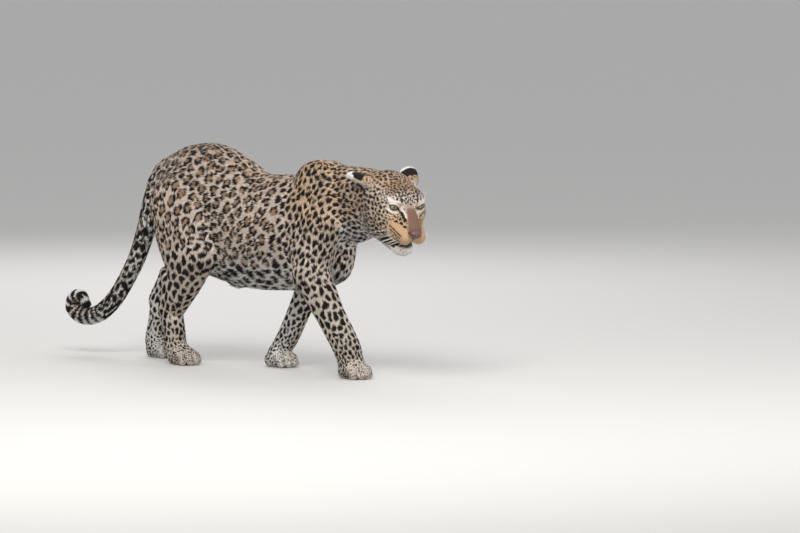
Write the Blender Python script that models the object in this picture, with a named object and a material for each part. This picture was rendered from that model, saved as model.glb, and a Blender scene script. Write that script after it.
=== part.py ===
"""A walking leopard as a life-size still model, for Blender 4.5. Metres, +X along the trunk towards the head,
+Y to the animal's left, +Z up, the floor at Z = 0. The body is one field of swept and round forms that melt
into each other as flesh does. It is meshed, thinned to a few thousand triangles and parted with thin cuts."""

import math

import bmesh
import bpy
import numpy as np

# The head: where the point between the eyes lies, how far it turns to the right and how far it nods
EYE_MIDPOINT = np.array([0.5779, -0.0734, 0.4864])
HEAD_TURN, HEAD_NOD = math.radians(-25), math.radians(-26)
EYE_HALF_SPACING, EYE_DEPTH = 0.0378, -0.0075
EYEBALL_RADIUS, LID_THICKNESS = 0.0145, 0.0026
EYE_OUTWARD, LID_SLANT = math.radians(18), math.radians(14)

# How finely the forms are meshed, and how many triangles are kept of each
BODY_STEP, HEAD_STEP, PAW_STEP, EAR_STEP, NOSE_STEP = 0.0065, 0.0026, 0.003, 0.0017, 0.0013
BODY_TRIANGLES, HEAD_TRIANGLES, PAW_TRIANGLES, EAR_TRIANGLES, NOSE_TRIANGLES = 4000, 2800, 400, 380, 260
GAP = 0.0003
FAR = 0.05
WRIST_CUT = 0.068

# The trunk from rump to brisket: x, height of the back, height of the belly, half width
TRUNK = (
    (-0.420, 0.535, 0.455, 0.028),
    (-0.383, 0.584, 0.405, 0.046),
    (-0.331, 0.620, 0.345, 0.074),
    (-0.275, 0.635, 0.298, 0.096),
    (-0.208, 0.632, 0.262, 0.101),
    (-0.135, 0.602, 0.240, 0.102),
    (-0.060, 0.566, 0.226, 0.108),
    (0.010, 0.551, 0.223, 0.115),
    (0.080, 0.552, 0.226, 0.117),
    (0.150, 0.556, 0.230, 0.111),
    (0.205, 0.574, 0.242, 0.096),
    (0.245, 0.576, 0.270, 0.076),
    (0.272, 0.556, 0.310, 0.052),
)

# The neck: x, y, z of its middle, then how far it reaches to the side, up and down
NECK = (
    (0.200, 0.000, 0.462, 0.082, 0.097, 0.118),
    (0.260, -0.002, 0.472, 0.078, 0.112, 0.116),
    (0.330, -0.010, 0.484, 0.074, 0.102, 0.117),
    (0.400, -0.022, 0.496, 0.074, 0.088, 0.108),
    (0.465, -0.036, 0.500, 0.073, 0.073, 0.096),
)

# The tail hangs behind the rump and curls up at its end: x, y, z and radius
TAIL = (
    (-0.331, 0.000, 0.555, 0.026),
    (-0.395, 0.000, 0.524, 0.031),
    (-0.431, 0.000, 0.450, 0.031),
    (-0.453, 0.000, 0.380, 0.030),
    (-0.486, 0.000, 0.300, 0.028),
    (-0.529, 0.000, 0.230, 0.026),
    (-0.580, 0.000, 0.165, 0.025),
    (-0.638, 0.000, 0.122, 0.025),
    (-0.692, -0.004, 0.110, 0.025),
    (-0.728, -0.010, 0.130, 0.024),
    (-0.722, -0.017, 0.161, 0.021),
    (-0.692, -0.021, 0.168, 0.018),
    (-0.672, -0.022, 0.150, 0.014),
)

# Each leg from the top down, and its paw: x, y of the middle of the sole and the way it points
FORE_LEGS = {
    "right": {
        "blade": (0.216, -0.046, 0.566),
        "shoulder": (0.268, -0.078, 0.415),
        "elbow": (0.244, -0.092, 0.280),
        "wrist": (0.359, -0.075, 0.092),
        "knuckle": (0.371, -0.068, 0.050),
        "paw": (0.383, -0.066, math.radians(-4)),
        "girth": 1.12,
    },
    "left": {
        "blade": (0.200, 0.046, 0.560),
        "shoulder": (0.205, 0.068, 0.405),
        "elbow": (0.110, 0.082, 0.268),
        "wrist": (0.024, 0.066, 0.085),
        "knuckle": (-0.002, 0.062, 0.048),
        "paw": (0.004, 0.060, math.radians(2)),
        "girth": 0.9,
    },
}
HIND_LEGS = {
    "right": {
        "hip": (-0.291, -0.068, 0.455),
        "stifle": (-0.174, -0.092, 0.308),
        "hock": (-0.290, -0.074, 0.150),
        "knuckle": (-0.285, -0.065, 0.050),
        "paw": (-0.254, -0.064, math.radians(-3)),
        "seat": (-0.310, -0.056, 0.445),
    },
    "left": {
        "hip": (-0.306, 0.068, 0.455),
        "stifle": (-0.322, 0.090, 0.302),
        "hock": (-0.460, 0.072, 0.155),
        "knuckle": (-0.476, 0.064, 0.050),
        "paw": (-0.450, 0.062, math.radians(3)),
        "seat": (-0.338, 0.056, 0.445),
    },
}

# Each ear in the head's own frame: its root, the way its tip points and the way its cup opens
EARS = {
    "right": ((-0.112, -0.063, 0.008), (-0.64, -0.76, 0.10), (0.10, -0.45, -0.85)),
    "left": ((-0.108, 0.054, -0.001), (-0.93, 0.16, 0.27), (0.00, 0.62, -0.78)),
}


def unit(vector):
    vector = np.asarray(vector, float)
    return vector / np.linalg.norm(vector)


def head_axes():
    """Columns: the head's forward, left and up directions."""
    forward = np.array([
        math.cos(HEAD_TURN) * math.cos(HEAD_NOD),
        math.sin(HEAD_TURN) * math.cos(HEAD_NOD),
        math.sin(HEAD_NOD),
    ])
    left = np.array([-math.sin(HEAD_TURN), math.cos(HEAD_TURN), 0.0])
    return np.column_stack([forward, left, np.cross(forward, left)])


HEAD = head_axes()


def on_head(forward, left, up):
    return EYE_MIDPOINT + HEAD @ np.array([forward, left, up])


def smooth_union(a, b, blend):
    """The nearer of two distances, with the crease between them filled over the width blend."""
    crease = np.maximum(blend - np.abs(a - b), 0) / blend
    return np.minimum(a, b) - crease * crease * blend / 4


def curve_through(rows, count):
    """A Catmull-Rom curve through rows of numbers, read at count even steps."""
    padded = np.vstack([2 * rows[0] - rows[1], rows, 2 * rows[-1] - rows[-2]])
    at = np.linspace(0, len(rows) - 1, count)
    i = np.minimum(at.astype(int), len(rows) - 2)
    t = (at - i)[:, None]
    a, b, c, d = (padded[i + n] for n in range(4))
    return b + 0.5 * t * (c - a + t * (2 * a - 5 * b + 4 * c - d + t * (3 * (b - c) + d - a)))


class Form:
    """A solid held as distances on a grid, below zero inside and above zero outside."""

    def __init__(self, low, high, step):
        self.axes = [np.arange(a, b, step, dtype=np.float32) for a, b in zip(low, high)]
        self.field = np.full([len(axis) for axis in self.axes], FAR, np.float32)

    def near(self, low, high):
        """The part of the grid within FAR of a box, and its points."""
        cut = tuple(
            slice(*np.searchsorted(axis, (a - FAR, b + FAR))) for axis, a, b in zip(self.axes, low, high)
        )
        grids = np.meshgrid(*(axis[c] for axis, c in zip(self.axes, cut)), indexing="ij")
        return cut, np.stack(grids, -1)

    def join(self, cut, distance, blend, carve):
        if carve:
            self.field[cut] = -smooth_union(-self.field[cut], distance, blend)
        else:
            self.field[cut] = smooth_union(self.field[cut], distance, blend)

    def ball(self, centre, radii, blend=0.02, axes=np.eye(3), carve=False):
        """An ellipsoid. Its distance is k0 (k0 - 1) / k1, where k0 is the length of q / r and k1 of q / r^2."""
        radii = np.asarray(radii, np.float32)
        reach = np.abs(axes) @ radii
        cut, points = self.near(centre - reach, centre + reach)
        q = (points - np.asarray(centre, np.float32)) @ axes.astype(np.float32)
        k0 = np.sqrt(((q / radii) ** 2).sum(-1)) + 1e-6
        k1 = np.sqrt(((q / radii**2) ** 2).sum(-1)) + 1e-6
        self.join(cut, k0 * (k0 - 1) / k1, blend, carve)

    def sweep(self, stations, blend=0.02, side=(0, 1, 0), carve=False, cap=1.0):
        """A tube along a curve. Each station is x, y, z and the reach to the side, the front and the back."""
        rows = np.array([list(row) + [row[-1]] * (6 - len(row)) for row in stations], float)
        count = 6 * (len(rows) - 1) + 1
        rows = curve_through(rows, count)
        path, radii = rows[:, :3], np.maximum(rows[:, 3:], GAP)
        along = np.gradient(path, axis=0)
        along /= np.linalg.norm(along, axis=1)[:, None]
        across = np.asarray(side, float) - along * (along @ np.asarray(side, float))[:, None]
        across /= np.linalg.norm(across, axis=1)[:, None]
        front = np.cross(along, across)
        reach = radii.max(1)[:, None]
        cut, points = self.near((path - reach).min(0), (path + reach).max(0))
        shape, points = points.shape[:3], points.reshape(-1, 3)
        at = nearest_on_path(points, path)
        i = np.minimum(at.astype(int), count - 2)
        t = (at - i)[:, None]

        def read(table):
            table = table.astype(np.float32)
            return table[i] * (1 - t) + table[i + 1] * t

        q, r = points - read(path), read(radii)
        depth = (q * read(front)).sum(1)
        to_edge = np.where(depth > 0, r[:, 1], r[:, 2])
        q = np.stack([(q * read(across)).sum(1), depth, (q * read(along)).sum(1)], 1)
        r = np.stack([r[:, 0], to_edge, np.minimum(r[:, 0], to_edge) * cap], 1)
        k0 = np.sqrt(((q / r) ** 2).sum(1)) + 1e-6
        k1 = np.sqrt(((q / r**2) ** 2).sum(1)) + 1e-6
        self.join(cut, (k0 * (k0 - 1) / k1).reshape(shape), blend, carve)

    def surface(self):
        """Surface nets: a point in each cell that the surface crosses, at the mean of where it cuts the
        cell's edges, and a face round each grid edge that it cuts."""
        for axis in range(3):
            np.moveaxis(self.field, axis, 0)[[0, -1]] = FAR
        self.fill_pinches()
        inside = self.field < 0
        n0, n1, n2 = (size - 1 for size in inside.shape)
        corners = np.array([(a, b, c) for a in (0, 1) for b in (0, 1) for c in (0, 1)])
        count = sum(inside[a:a + n0, b:b + n1, c:c + n2].astype(np.int8) for a, b, c in corners)
        cells = np.argwhere((count > 0) & (count < len(corners)))
        index = np.full((n0, n1, n2), -1)
        index[tuple(cells.T)] = np.arange(len(cells))
        at = cells[:, None, :] + corners
        values = self.field[tuple(np.moveaxis(at, -1, 0))].astype(float)
        places = np.stack([self.axes[k][at[..., k]] for k in range(3)], -1).astype(float)
        total, hits = np.zeros((len(cells), 3)), np.zeros(len(cells))
        for a, b in np.argwhere(np.abs(corners[:, None] - corners).sum(-1) == 1):
            crossed = (values[:, a] < 0) & (values[:, b] >= 0)
            t = (values[crossed, a] / (values[crossed, a] - values[crossed, b]))[:, None]
            total[crossed] += places[crossed, a] * (1 - t) + places[crossed, b] * t
            hits[crossed] += 1
        faces = [self.faces_across(inside, index, axis) for axis in range(3)]
        return total / hits[:, None], np.concatenate(faces)

    def fill_pinches(self):
        """Fills each square of the grid whose inner corners are two opposite ones, so that no two walls meet
        in a single edge."""
        pinched = True
        while pinched:
            pinched = False
            for axis in range(3):
                layer = np.moveaxis(self.field, axis, 0)
                a, b, c, d = layer[:, :-1, :-1], layer[:, 1:, :-1], layer[:, :-1, 1:], layer[:, 1:, 1:]
                found = ((a < 0) == (d < 0)) & ((b < 0) == (c < 0)) & ((a < 0) != (b < 0))
                for corner in (a, b, c, d):
                    corner[found] = np.minimum(corner[found], -GAP)
                pinched |= bool(found.any())

    def faces_across(self, inside, index, axis):
        """The faces round the grid edges that run along one axis, each turned outwards."""
        lower, upper = [slice(None)] * 3, [slice(None)] * 3
        lower[axis], upper[axis] = slice(0, -1), slice(1, None)
        edges = np.argwhere(inside[tuple(lower)] != inside[tuple(upper)])
        step_u, step_v = np.eye(3, dtype=int)[(axis + 1) % 3], np.eye(3, dtype=int)[(axis + 2) % 3]
        ring = (edges - step_u - step_v, edges - step_v, edges, edges - step_u)
        quads = np.stack([index[tuple(corner.T)] for corner in ring], 1)
        outside_first = ~inside[tuple(edges.T)]
        quads[outside_first] = quads[outside_first, ::-1]
        return quads


def nearest_on_path(points, path):
    """Where on a path of short lines each point is nearest, as the line's number and a part of one."""
    best, at = np.full(len(points), np.inf, np.float32), np.zeros(len(points), np.float32)
    for n, (start, end) in enumerate(zip(path[:-1].astype(np.float32), path[1:].astype(np.float32))):
        line, offset = end - start, points - start
        t = np.clip(offset @ line / (line @ line), 0, 1)
        gap = ((offset - t[:, None] * line) ** 2).sum(1)
        nearer = gap < best
        best[nearer] = gap[nearer]
        at[nearer] = n + t[nearer]
    return at


def between(a, b, part, shift=(0, 0, 0)):
    return np.asarray(a) * (1 - part) + np.asarray(b) * part + np.asarray(shift)


def trunk(form):
    stations = []
    for x, top, bottom, half_width in TRUNK:
        half_height = (top - bottom) / 2
        stations.append((x, 0, bottom + half_height, half_width, half_height))
    form.sweep(stations, cap=0.45)
    form.ball((-0.100, 0, 0.243), (0.034, 0.018, 0.021), 0.012)
    form.ball((0.222, 0, 0.552), (0.072, 0.056, 0.038), 0.04)


def neck(form):
    form.sweep(NECK, 0.03)


def fore_leg(form, blade, shoulder, elbow, wrist, knuckle, girth, **_):
    """Shoulder blade, upper arm, the muscle behind it and the forearm."""
    out = math.copysign(1, shoulder[1])
    middle = between(blade, shoulder, 0.55)
    form.sweep([(*blade, 0.024, 0.042), (*middle, 0.034, 0.058), (*shoulder, 0.038, 0.054)], 0.045)
    middle = between(shoulder, elbow, 0.5)
    form.sweep([(*shoulder, 0.041, 0.050), (*middle, 0.042, 0.056), (*elbow, 0.041, 0.049)], 0.035)
    back = between(blade, blade, 1, (-0.03, out * 0.012, -0.09))
    middle = between(back, elbow, 0.5)
    form.sweep([(*back, 0.028, 0.040), (*middle, 0.036, 0.050), (*elbow, 0.036, 0.036)], 0.03)
    forearm = (
        (elbow, 0.043, 0.053, 0.047),
        (between(elbow, wrist, 0.28), 0.041, 0.048, 0.042),
        (between(elbow, wrist, 0.60), 0.036, 0.038, 0.037),
        (wrist, 0.035, 0.034, 0.036),
        (knuckle, 0.035, 0.030, 0.032),
    )
    form.sweep([(*place, *(girth * r for r in reach)) for place, *reach in forearm], 0.015)


def hind_leg(form, hip, stifle, hock, knuckle, seat, **_):
    """Thigh, hamstring, the lower leg down to the foot, and the tendon that ends at the point of the hock."""
    top = between(hip, hip, 1, (-0.01, 0, 0.03))
    middle = between(hip, stifle, 0.5)
    form.sweep([(*top, 0.042, 0.080), (*middle, 0.051, 0.086), (*stifle, 0.046, 0.060)], 0.035)
    calf = between(stifle, hock, 0.28, (-0.034, 0, 0))
    middle = between(seat, calf, 0.5, (-0.012, 0, 0))
    form.sweep([(*seat, 0.042, 0.046), (*middle, 0.042, 0.048), (*calf, 0.036, 0.046)], 0.035)
    form.sweep([
        (*stifle, 0.045, 0.055, 0.060),
        (*between(stifle, hock, 0.4), 0.044, 0.050, 0.060),
        (*between(stifle, hock, 0.8), 0.037, 0.039, 0.046),
        (*hock, 0.033, 0.035, 0.036),
        (*between(hock, knuckle, 0.5), 0.032, 0.033, 0.033),
        (*knuckle, 0.034, 0.032, 0.033),
    ], 0.015)
    tendon = between(stifle, hock, 0.42, (-0.068, 0, 0))
    heel = between(hock, hock, 1, (-0.026, 0, 0.012))
    form.sweep([(*tendon, 0.024, 0.026), (*heel, 0.019, 0.019)], 0.02)


def paw(form, place):
    """The pad under the foot, the heel pad and four toes, whose soles lie on the floor."""
    x, y, heading = place
    axes = np.array([
        (math.cos(heading), -math.sin(heading), 0),
        (math.sin(heading), math.cos(heading), 0),
        (0, 0, 1),
    ])

    def at(forward, left, up):
        return np.array([x, y, 0]) + axes @ np.array([forward, left, up])

    form.ball(at(-0.008, 0, 0.026), (0.040, 0.036, 0.031), 0.015, axes)
    form.ball(at(-0.032, 0, 0.017), (0.019, 0.025, 0.022), 0.012, axes)
    for left, reach in ((-0.0285, 0.024), (-0.0100, 0.036), (0.0100, 0.036), (0.0285, 0.024)):
        toe = [
            (*at(0, left * 0.8, 0.033), 0.0135),
            (*at(reach * 0.7, left, 0.026), 0.0130),
            (*at(reach, left * 1.05, 0.0115), 0.0125),
        ]
        form.sweep(toe, 0.005, axes[:, 1])


def tail(form):
    form.sweep(TAIL, 0.012)


def head(form):
    """Skull, brow, cheeks, muzzle and lower jaw, with the mouth a little open and a hollow for each eye."""
    head_ball(form, (-0.090, 0, -0.012), (0.078, 0.064, 0.056), 0.03)
    head_ball(form, (-0.034, 0, 0.002), (0.048, 0.049, 0.040), 0.025)
    bridge = [
        (-0.020, 0, 0.002, 0.033, 0.020, 0.03),
        (0.030, 0, -0.012, 0.023, 0.014, 0.03),
        (0.068, 0, -0.036, 0.0185, 0.011, 0.02),
    ]
    head_sweep(form, bridge, 0.014)
    head_ball(form, (0.016, 0, -0.048), (0.052, 0.040, 0.036), 0.022)
    for side in (-1, 1):
        head_ball(form, (-0.062, side * 0.044, -0.050), (0.056, 0.034, 0.056), 0.025)
        head_ball(form, (-0.070, side * 0.040, -0.095), (0.044, 0.028, 0.036), 0.02)
        head_ball(form, (-0.024, side * 0.042, -0.030), (0.036, 0.020, 0.022), 0.028)
        head_ball(form, (-0.020, side * 0.031, 0.014), (0.026, 0.023, 0.013), 0.024)
        head_ball(form, (0.008, side * 0.031, -0.068), (0.042, 0.020, 0.027), 0.022)
        head_ball(form, (0.050, side * 0.0205, -0.062), (0.035, 0.0225, 0.0245), 0.013)
        jaw = [
            (-0.080, side * 0.042, -0.098, 0.018, 0.030),
            (-0.030, side * 0.028, -0.113, 0.018, 0.023),
            (0.020, side * 0.010, -0.118, 0.018, 0.019),
        ]
        head_sweep(form, jaw, 0.014)
    head_ball(form, (0.028, 0, -0.116), (0.024, 0.026, 0.021), 0.012)
    mouth = [
        (-0.014, 0, -0.101, 0.044, 0.0032),
        (0.020, 0, -0.098, 0.044, 0.0040),
        (0.060, 0, -0.094, 0.044, 0.0062),
        (0.100, 0, -0.091, 0.044, 0.0090),
    ]
    head_sweep(form, mouth, 0.004, carve=True, cap=0.3)
    for side in (-1, 1):
        hollow = (0.011, side * (EYE_HALF_SPACING + 0.001), -0.001)
        head_ball(form, hollow, (0.016, 0.0165, 0.0115), 0.014, carve=True)
        head_ball(form, (EYE_DEPTH, side * EYE_HALF_SPACING, 0), (EYEBALL_RADIUS + 0.0022,) * 3, 0.008)
    nose(form)


def head_ball(form, place, radii, blend, carve=False):
    form.ball(on_head(*place), radii, blend, HEAD, carve)


def head_sweep(form, rows, blend, carve=False, cap=1.0):
    form.sweep([(*on_head(*row[:3]), *row[3:]) for row in rows], blend, HEAD[:, 1], carve, cap)


def nose(form):
    """The bare skin of the nose: a pad with a nostril that curls outwards on each side."""
    head_ball(form, (0.0805, 0, -0.0430), (0.0130, 0.0165, 0.0125), 0.005)
    for side in (-1, 1):
        nostril = [
            (0.096, side * 0.0065, -0.0440, 0.0028),
            (0.088, side * 0.0100, -0.0450, 0.0032),
            (0.082, side * 0.0160, -0.0430, 0.0018),
        ]
        head_sweep(form, nostril, 0.002, carve=True)


def ear(form, root, tip, cup):
    """A rounded blade hollowed on one side."""
    tip = unit(tip)
    cup = unit(np.asarray(cup) - tip * (np.asarray(cup) @ tip))
    axes = HEAD @ np.column_stack([tip, np.cross(cup, tip), cup])
    middle = np.asarray(root) + tip * 0.032
    form.ball(on_head(*middle), (0.041, 0.030, 0.017), 0.008, axes)
    hollow = on_head(*(middle + cup * 0.0135 + tip * 0.004))
    form.ball(hollow, (0.034, 0.0240, 0.0190), 0.004, axes, carve=True)


def flesh(form):
    """Everything but the head and the paws, melted together."""
    neck(form)
    trunk(form)
    for leg in FORE_LEGS.values():
        fore_leg(form, **leg)
    for leg in HIND_LEGS.values():
        hind_leg(form, **leg)
    tail(form)


def add_object(name, points, faces):
    mesh = bpy.data.meshes.new(name)
    mesh.from_pydata(np.asarray(points).tolist(), [], np.asarray(faces).tolist())
    mesh.update()
    found = bpy.data.objects.new(name, mesh)
    bpy.context.scene.collection.objects.link(found)
    return found


def bake(found):
    """Replaces an object's mesh with what its modifiers make of it."""
    made = bpy.data.meshes.new_from_object(found.evaluated_get(bpy.context.evaluated_depsgraph_get()))
    found.modifiers.clear()
    old, found.data = found.data, made
    bpy.data.meshes.remove(old)


def thinned(name, form, triangles):
    """The form's largest shell as an object with about that many triangles."""
    found = add_object(name, *form.surface())
    found.modifiers.new("Triangles", "TRIANGULATE")
    bake(found)
    keep_largest(found)
    thin = found.modifiers.new("Thin", "DECIMATE")
    thin.ratio = triangles / len(found.data.polygons)
    bake(found)
    return found


def keep_largest(found):
    """Drops every shell but the one with the most faces."""
    mesh = bmesh.new()
    mesh.from_mesh(found.data)
    shells, seen = [], set()
    for start in mesh.verts:
        if start in seen:
            continue
        shell, waiting = {start}, [start]
        while waiting:
            for edge in waiting.pop().link_edges:
                fresh = set(edge.verts) - shell
                shell |= fresh
                waiting += fresh
        seen |= shell
        shells.append(shell)
    shells.sort(key=len)
    bmesh.ops.delete(mesh, geom=[vert for shell in shells[:-1] for vert in shell], context="VERTS")
    mesh.to_mesh(found.data)
    mesh.free()


def combine(found, other, operation):
    change = found.modifiers.new("Combine", "BOOLEAN")
    change.operation, change.solver, change.object = operation, "EXACT", other
    bake(found)


def grown(found, amount):
    """A copy whose points are moved out along their normals."""
    points = np.empty(len(found.data.vertices) * 3)
    normals = np.empty_like(points)
    found.data.vertices.foreach_get("co", points)
    found.data.vertices.foreach_get("normal", normals)
    copy = found.copy()
    copy.data = found.data.copy()
    bpy.context.scene.collection.objects.link(copy)
    copy.data.vertices.foreach_set("co", points + amount * normals)
    copy.data.update()
    return copy


def remove(found):
    bpy.data.objects.remove(found)


def cell(planes, spare):
    """A large box less what lies beyond each plane, given as a point and the way out, moved in by spare."""
    mesh = bmesh.new()
    bmesh.ops.create_cube(mesh, size=4)
    for point, out in planes:
        place, out = np.asarray(point) - unit(out) * spare, unit(out)
        geometry = mesh.verts[:] + mesh.edges[:] + mesh.faces[:]
        cut = bmesh.ops.bisect_plane(mesh, geom=geometry, plane_co=place, plane_no=out, clear_outer=True)
        edges = [part for part in cut["geom_cut"] if isinstance(part, bmesh.types.BMEdge)]
        bmesh.ops.contextual_create(mesh, geom=edges)
    bmesh.ops.recalc_face_normals(mesh, faces=mesh.faces[:])
    found = add_object("cell", [], [])
    mesh.to_mesh(found.data)
    mesh.free()
    return found


def part_off(found, name, planes):
    """Moves what lies within the planes to a new object, leaving a thin gap between the two."""
    inner, outer = cell(planes, GAP / 2), cell(planes, -GAP / 2)
    piece = grown(found, 0)
    piece.name = name
    combine(piece, inner, "INTERSECT")
    combine(found, outer, "DIFFERENCE")
    remove(inner)
    remove(outer)
    return piece


def keep_within(found, planes):
    inner = cell(planes, GAP / 2)
    combine(found, inner, "INTERSECT")
    remove(inner)


# The planes that part the animal, each a point and a direction
HEAD_CUT = (on_head(-0.148, 0, -0.030), (0.95, -0.25, -0.10))
NECK_CUT = ((0.315, -0.010, 0.470), (0.90, -0.03, 0.42))
LEG_CUTS = {
    "fore_right": (((0.120, 0, 0.400), (-1, 0, 0)), ((0.262, 0, 0.215), (0.51, 0, -0.86))),
    "fore_left": (((0.018, 0, 0.260), (-0.24, 0, 0.09)), ((0.085, 0, 0.215), (-0.42, 0, -0.90))),
    "hind_right": (((-0.085, 0, 0.400), (1, 0, 0)), ((-0.225, 0, 0.225), (-0.52, 0, -0.85))),
    "hind_left": (((-0.150, 0, 0.400), (1, 0, 0)), ((-0.375, 0, 0.235), (-0.65, 0, -0.76))),
}
TAIL_EDGE = ((-0.400, 0, 0.450), (1, 0, 0))
TAIL_CUTS = (((-0.430, 0, 0.365), (-0.30, 0, -0.95)), ((-0.590, 0, 0.150), (-0.80, 0, -0.60)))
TAIL_SIDES = (((0, 0.0315, 0), (0, 1, 0)), ((0, -0.040, 0), (0, -1, 0)))


def turned(plane):
    point, out = plane
    return point, tuple(-part for part in out)


def inner_plane(side):
    """The slanting plane between a leg and the trunk, out towards the trunk."""
    return (0, side * 0.012, 0.220), (0, -side * 0.979, 0.206)


def part_tail(body):
    pieces = []
    middle, end = TAIL_CUTS
    spans = {
        "tail_root": [TAIL_EDGE, middle],
        "tail_middle": [TAIL_EDGE, turned(middle), end],
        "tail_tip": [turned(end)],
    }
    for name, planes in spans.items():
        pieces.append(part_off(body, name, planes + list(TAIL_SIDES)))
    return pieces


def part_leg(body, name, side):
    """Parts a leg from the trunk, then at the elbow or knee, and ends it above the paw."""
    edge, joint = LEG_CUTS[name]
    upper = part_off(body, name + "_upper", [edge, inner_plane(side)])
    lower = part_off(upper, name + "_lower", [turned(joint)])
    keep_within(lower, [((0, 0, WRIST_CUT), (0, 0, -1))])
    return [upper, lower]


def paw_object(name, legs, side, build):
    """A paw from its own finer grid, cut flat at the floor."""
    x, y, _ = legs[side]["paw"]
    form = Form((x - 0.08, y - 0.06, -0.02), (x + 0.08, y + 0.06, WRIST_CUT + 0.02), PAW_STEP)
    build(form, **legs[side])
    paw(form, legs[side]["paw"])
    found = thinned(name, form, PAW_TRIANGLES)
    keep_within(found, [((0, 0, WRIST_CUT), (0, 0, 1)), ((0, 0, -GAP / 2), (0, 0, -1))])
    return found


def body_objects():
    form = Form((-0.80, -0.20, -0.03), (0.56, 0.20, 0.68), BODY_STEP)
    flesh(form)
    body = thinned("chest", form, BODY_TRIANGLES)
    pieces = [body, part_off(body, "neck", [turned(NECK_CUT), HEAD_CUT])]
    pieces += part_tail(body)
    for name, side in (("fore_right", -1), ("fore_left", 1), ("hind_right", -1), ("hind_left", 1)):
        pieces += part_leg(body, name, side)
    pieces.append(part_off(body, "loin", [((0.030, 0, 0.400), (1, 0, 0))]))
    for side in ("right", "left"):
        pieces.append(paw_object("fore_" + side + "_paw", FORE_LEGS, side, fore_leg))
        pieces.append(paw_object("hind_" + side + "_paw", HIND_LEGS, side, hind_leg))
    return pieces


def sphere(name, centre, radius, rings=10, sides=16):
    """A ball made of rings of points round an upright axis."""
    mesh = bmesh.new()
    bmesh.ops.create_uvsphere(mesh, u_segments=sides, v_segments=rings, radius=radius)
    bmesh.ops.translate(mesh, verts=mesh.verts[:], vec=tuple(centre))
    found = add_object(name, [], [])
    mesh.to_mesh(found.data)
    mesh.free()
    return found


def eye_axes(side):
    """Columns: the way the eye looks, its outer corner and its upper lid."""
    turn, slant = side * EYE_OUTWARD, LID_SLANT
    look = np.array([math.cos(turn), math.sin(turn), 0])
    level = np.array([-math.sin(turn), math.cos(turn), 0]) * side
    corner = level * math.cos(slant) + np.array([0, 0, math.sin(slant)])
    return HEAD @ np.column_stack([look, corner, np.cross(look, corner) * side])


def lid_opening(turn):
    """The angle from the eye's axis to the edge of the lids, for a slit with two pointed corners."""
    wide, high = math.radians(60), math.radians(27)
    return 1 / ((np.abs(np.cos(turn)) / wide) ** 1.5 + (np.abs(np.sin(turn)) / high) ** 1.5) ** (1 / 1.5)


def eyelids(name, centre, axes):
    """A shell round the eyeball with a slit in front. Round the slit's turn, the section runs out over the
    lid's outer face to its rim and back along the eyeball."""
    turn = np.linspace(0, 2 * math.pi, 24, endpoint=False)[:, None]
    inner, outer = EYEBALL_RADIUS + 2 * GAP, EYEBALL_RADIUS + LID_THICKNESS
    slit, rim = lid_opening(turn), math.radians(100)
    part = np.array([0, 0.08, 0.30, 0.53, 0.76, 1, 1, 0.76, 0.53, 0.30, 0.08])
    radius = np.array([(inner + outer) / 2] + [outer] * 5 + [inner] * 5)
    angle = slit + (rim - slit) * part
    local = np.stack([np.cos(angle), np.sin(angle) * np.cos(turn), np.sin(angle) * np.sin(turn)], -1)
    points = centre + (radius[:, None] * local) @ axes.T
    sides, around = angle.shape
    i, j = np.meshgrid(np.arange(sides), np.arange(around), indexing="ij")
    ring = (i, (i + 1) % sides, (i + 1) % sides, i), (j, j, (j + 1) % around, (j + 1) % around)
    faces = np.stack([a * around + b for a, b in zip(*ring)], -1).reshape(-1, 4)
    found = add_object(name, points.reshape(-1, 3), faces)
    face_outwards(found)
    return found


def face_outwards(found):
    mesh = bmesh.new()
    mesh.from_mesh(found.data)
    bmesh.ops.recalc_face_normals(mesh, faces=mesh.faces[:])
    mesh.to_mesh(found.data)
    mesh.free()


def eye_objects(skull):
    """Each eyeball with its lids, set in a round pocket of the head."""
    pieces = []
    for name, side in (("right", -1), ("left", 1)):
        centre = on_head(EYE_DEPTH, side * EYE_HALF_SPACING, 0)
        pocket = sphere("pocket", centre, EYEBALL_RADIUS + LID_THICKNESS + 2 * GAP, 16, 24)
        combine(skull, pocket, "DIFFERENCE")
        remove(pocket)
        pieces.append(sphere("eye_" + name, centre, EYEBALL_RADIUS))
        pieces.append(eyelids("eyelids_" + name, centre, eye_axes(side)))
    return pieces


def head_objects():
    form = Form((0.36, -0.24, 0.30), (0.70, 0.08, 0.62), HEAD_STEP)
    neck(form)
    head(form)
    skull = thinned("head", form, HEAD_TRIANGLES)
    shell = grown(skull, GAP)
    keep_within(skull, [turned(HEAD_CUT)])
    tip = on_head(0.08, 0, -0.043)
    form = Form(tip - 0.04, tip + 0.04, NOSE_STEP)
    nose(form)
    leather = thinned("nose", form, NOSE_TRIANGLES)
    socket = grown(leather, GAP)
    combine(skull, socket, "DIFFERENCE")
    remove(socket)
    pieces = [skull, leather] + eye_objects(skull)
    for name, places in EARS.items():
        middle = on_head(*(np.asarray(places[0]) + unit(places[1]) * 0.032))
        form = Form(middle - 0.06, middle + 0.06, EAR_STEP)
        ear(form, *places)
        blade = thinned("ear_" + name, form, EAR_TRIANGLES)
        combine(blade, shell, "DIFFERENCE")
        pieces.append(blade)
    remove(shell)
    return pieces


# Colours measured by eye: roughness and metallic follow
MATERIALS = {
    "coat_tan": (0.62, 0.47, 0.29, 0.85),
    "coat_cream": (0.72, 0.64, 0.52, 0.85),
    "coat_limb": (0.76, 0.70, 0.60, 0.85),
    "coat_tail": (0.55, 0.50, 0.44, 0.85),
    "nose_leather": (0.33, 0.18, 0.15, 0.45),
    "eyelid_skin": (0.03, 0.025, 0.022, 0.55),
    "iris": (0.45, 0.46, 0.33, 0.08),
}


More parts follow.
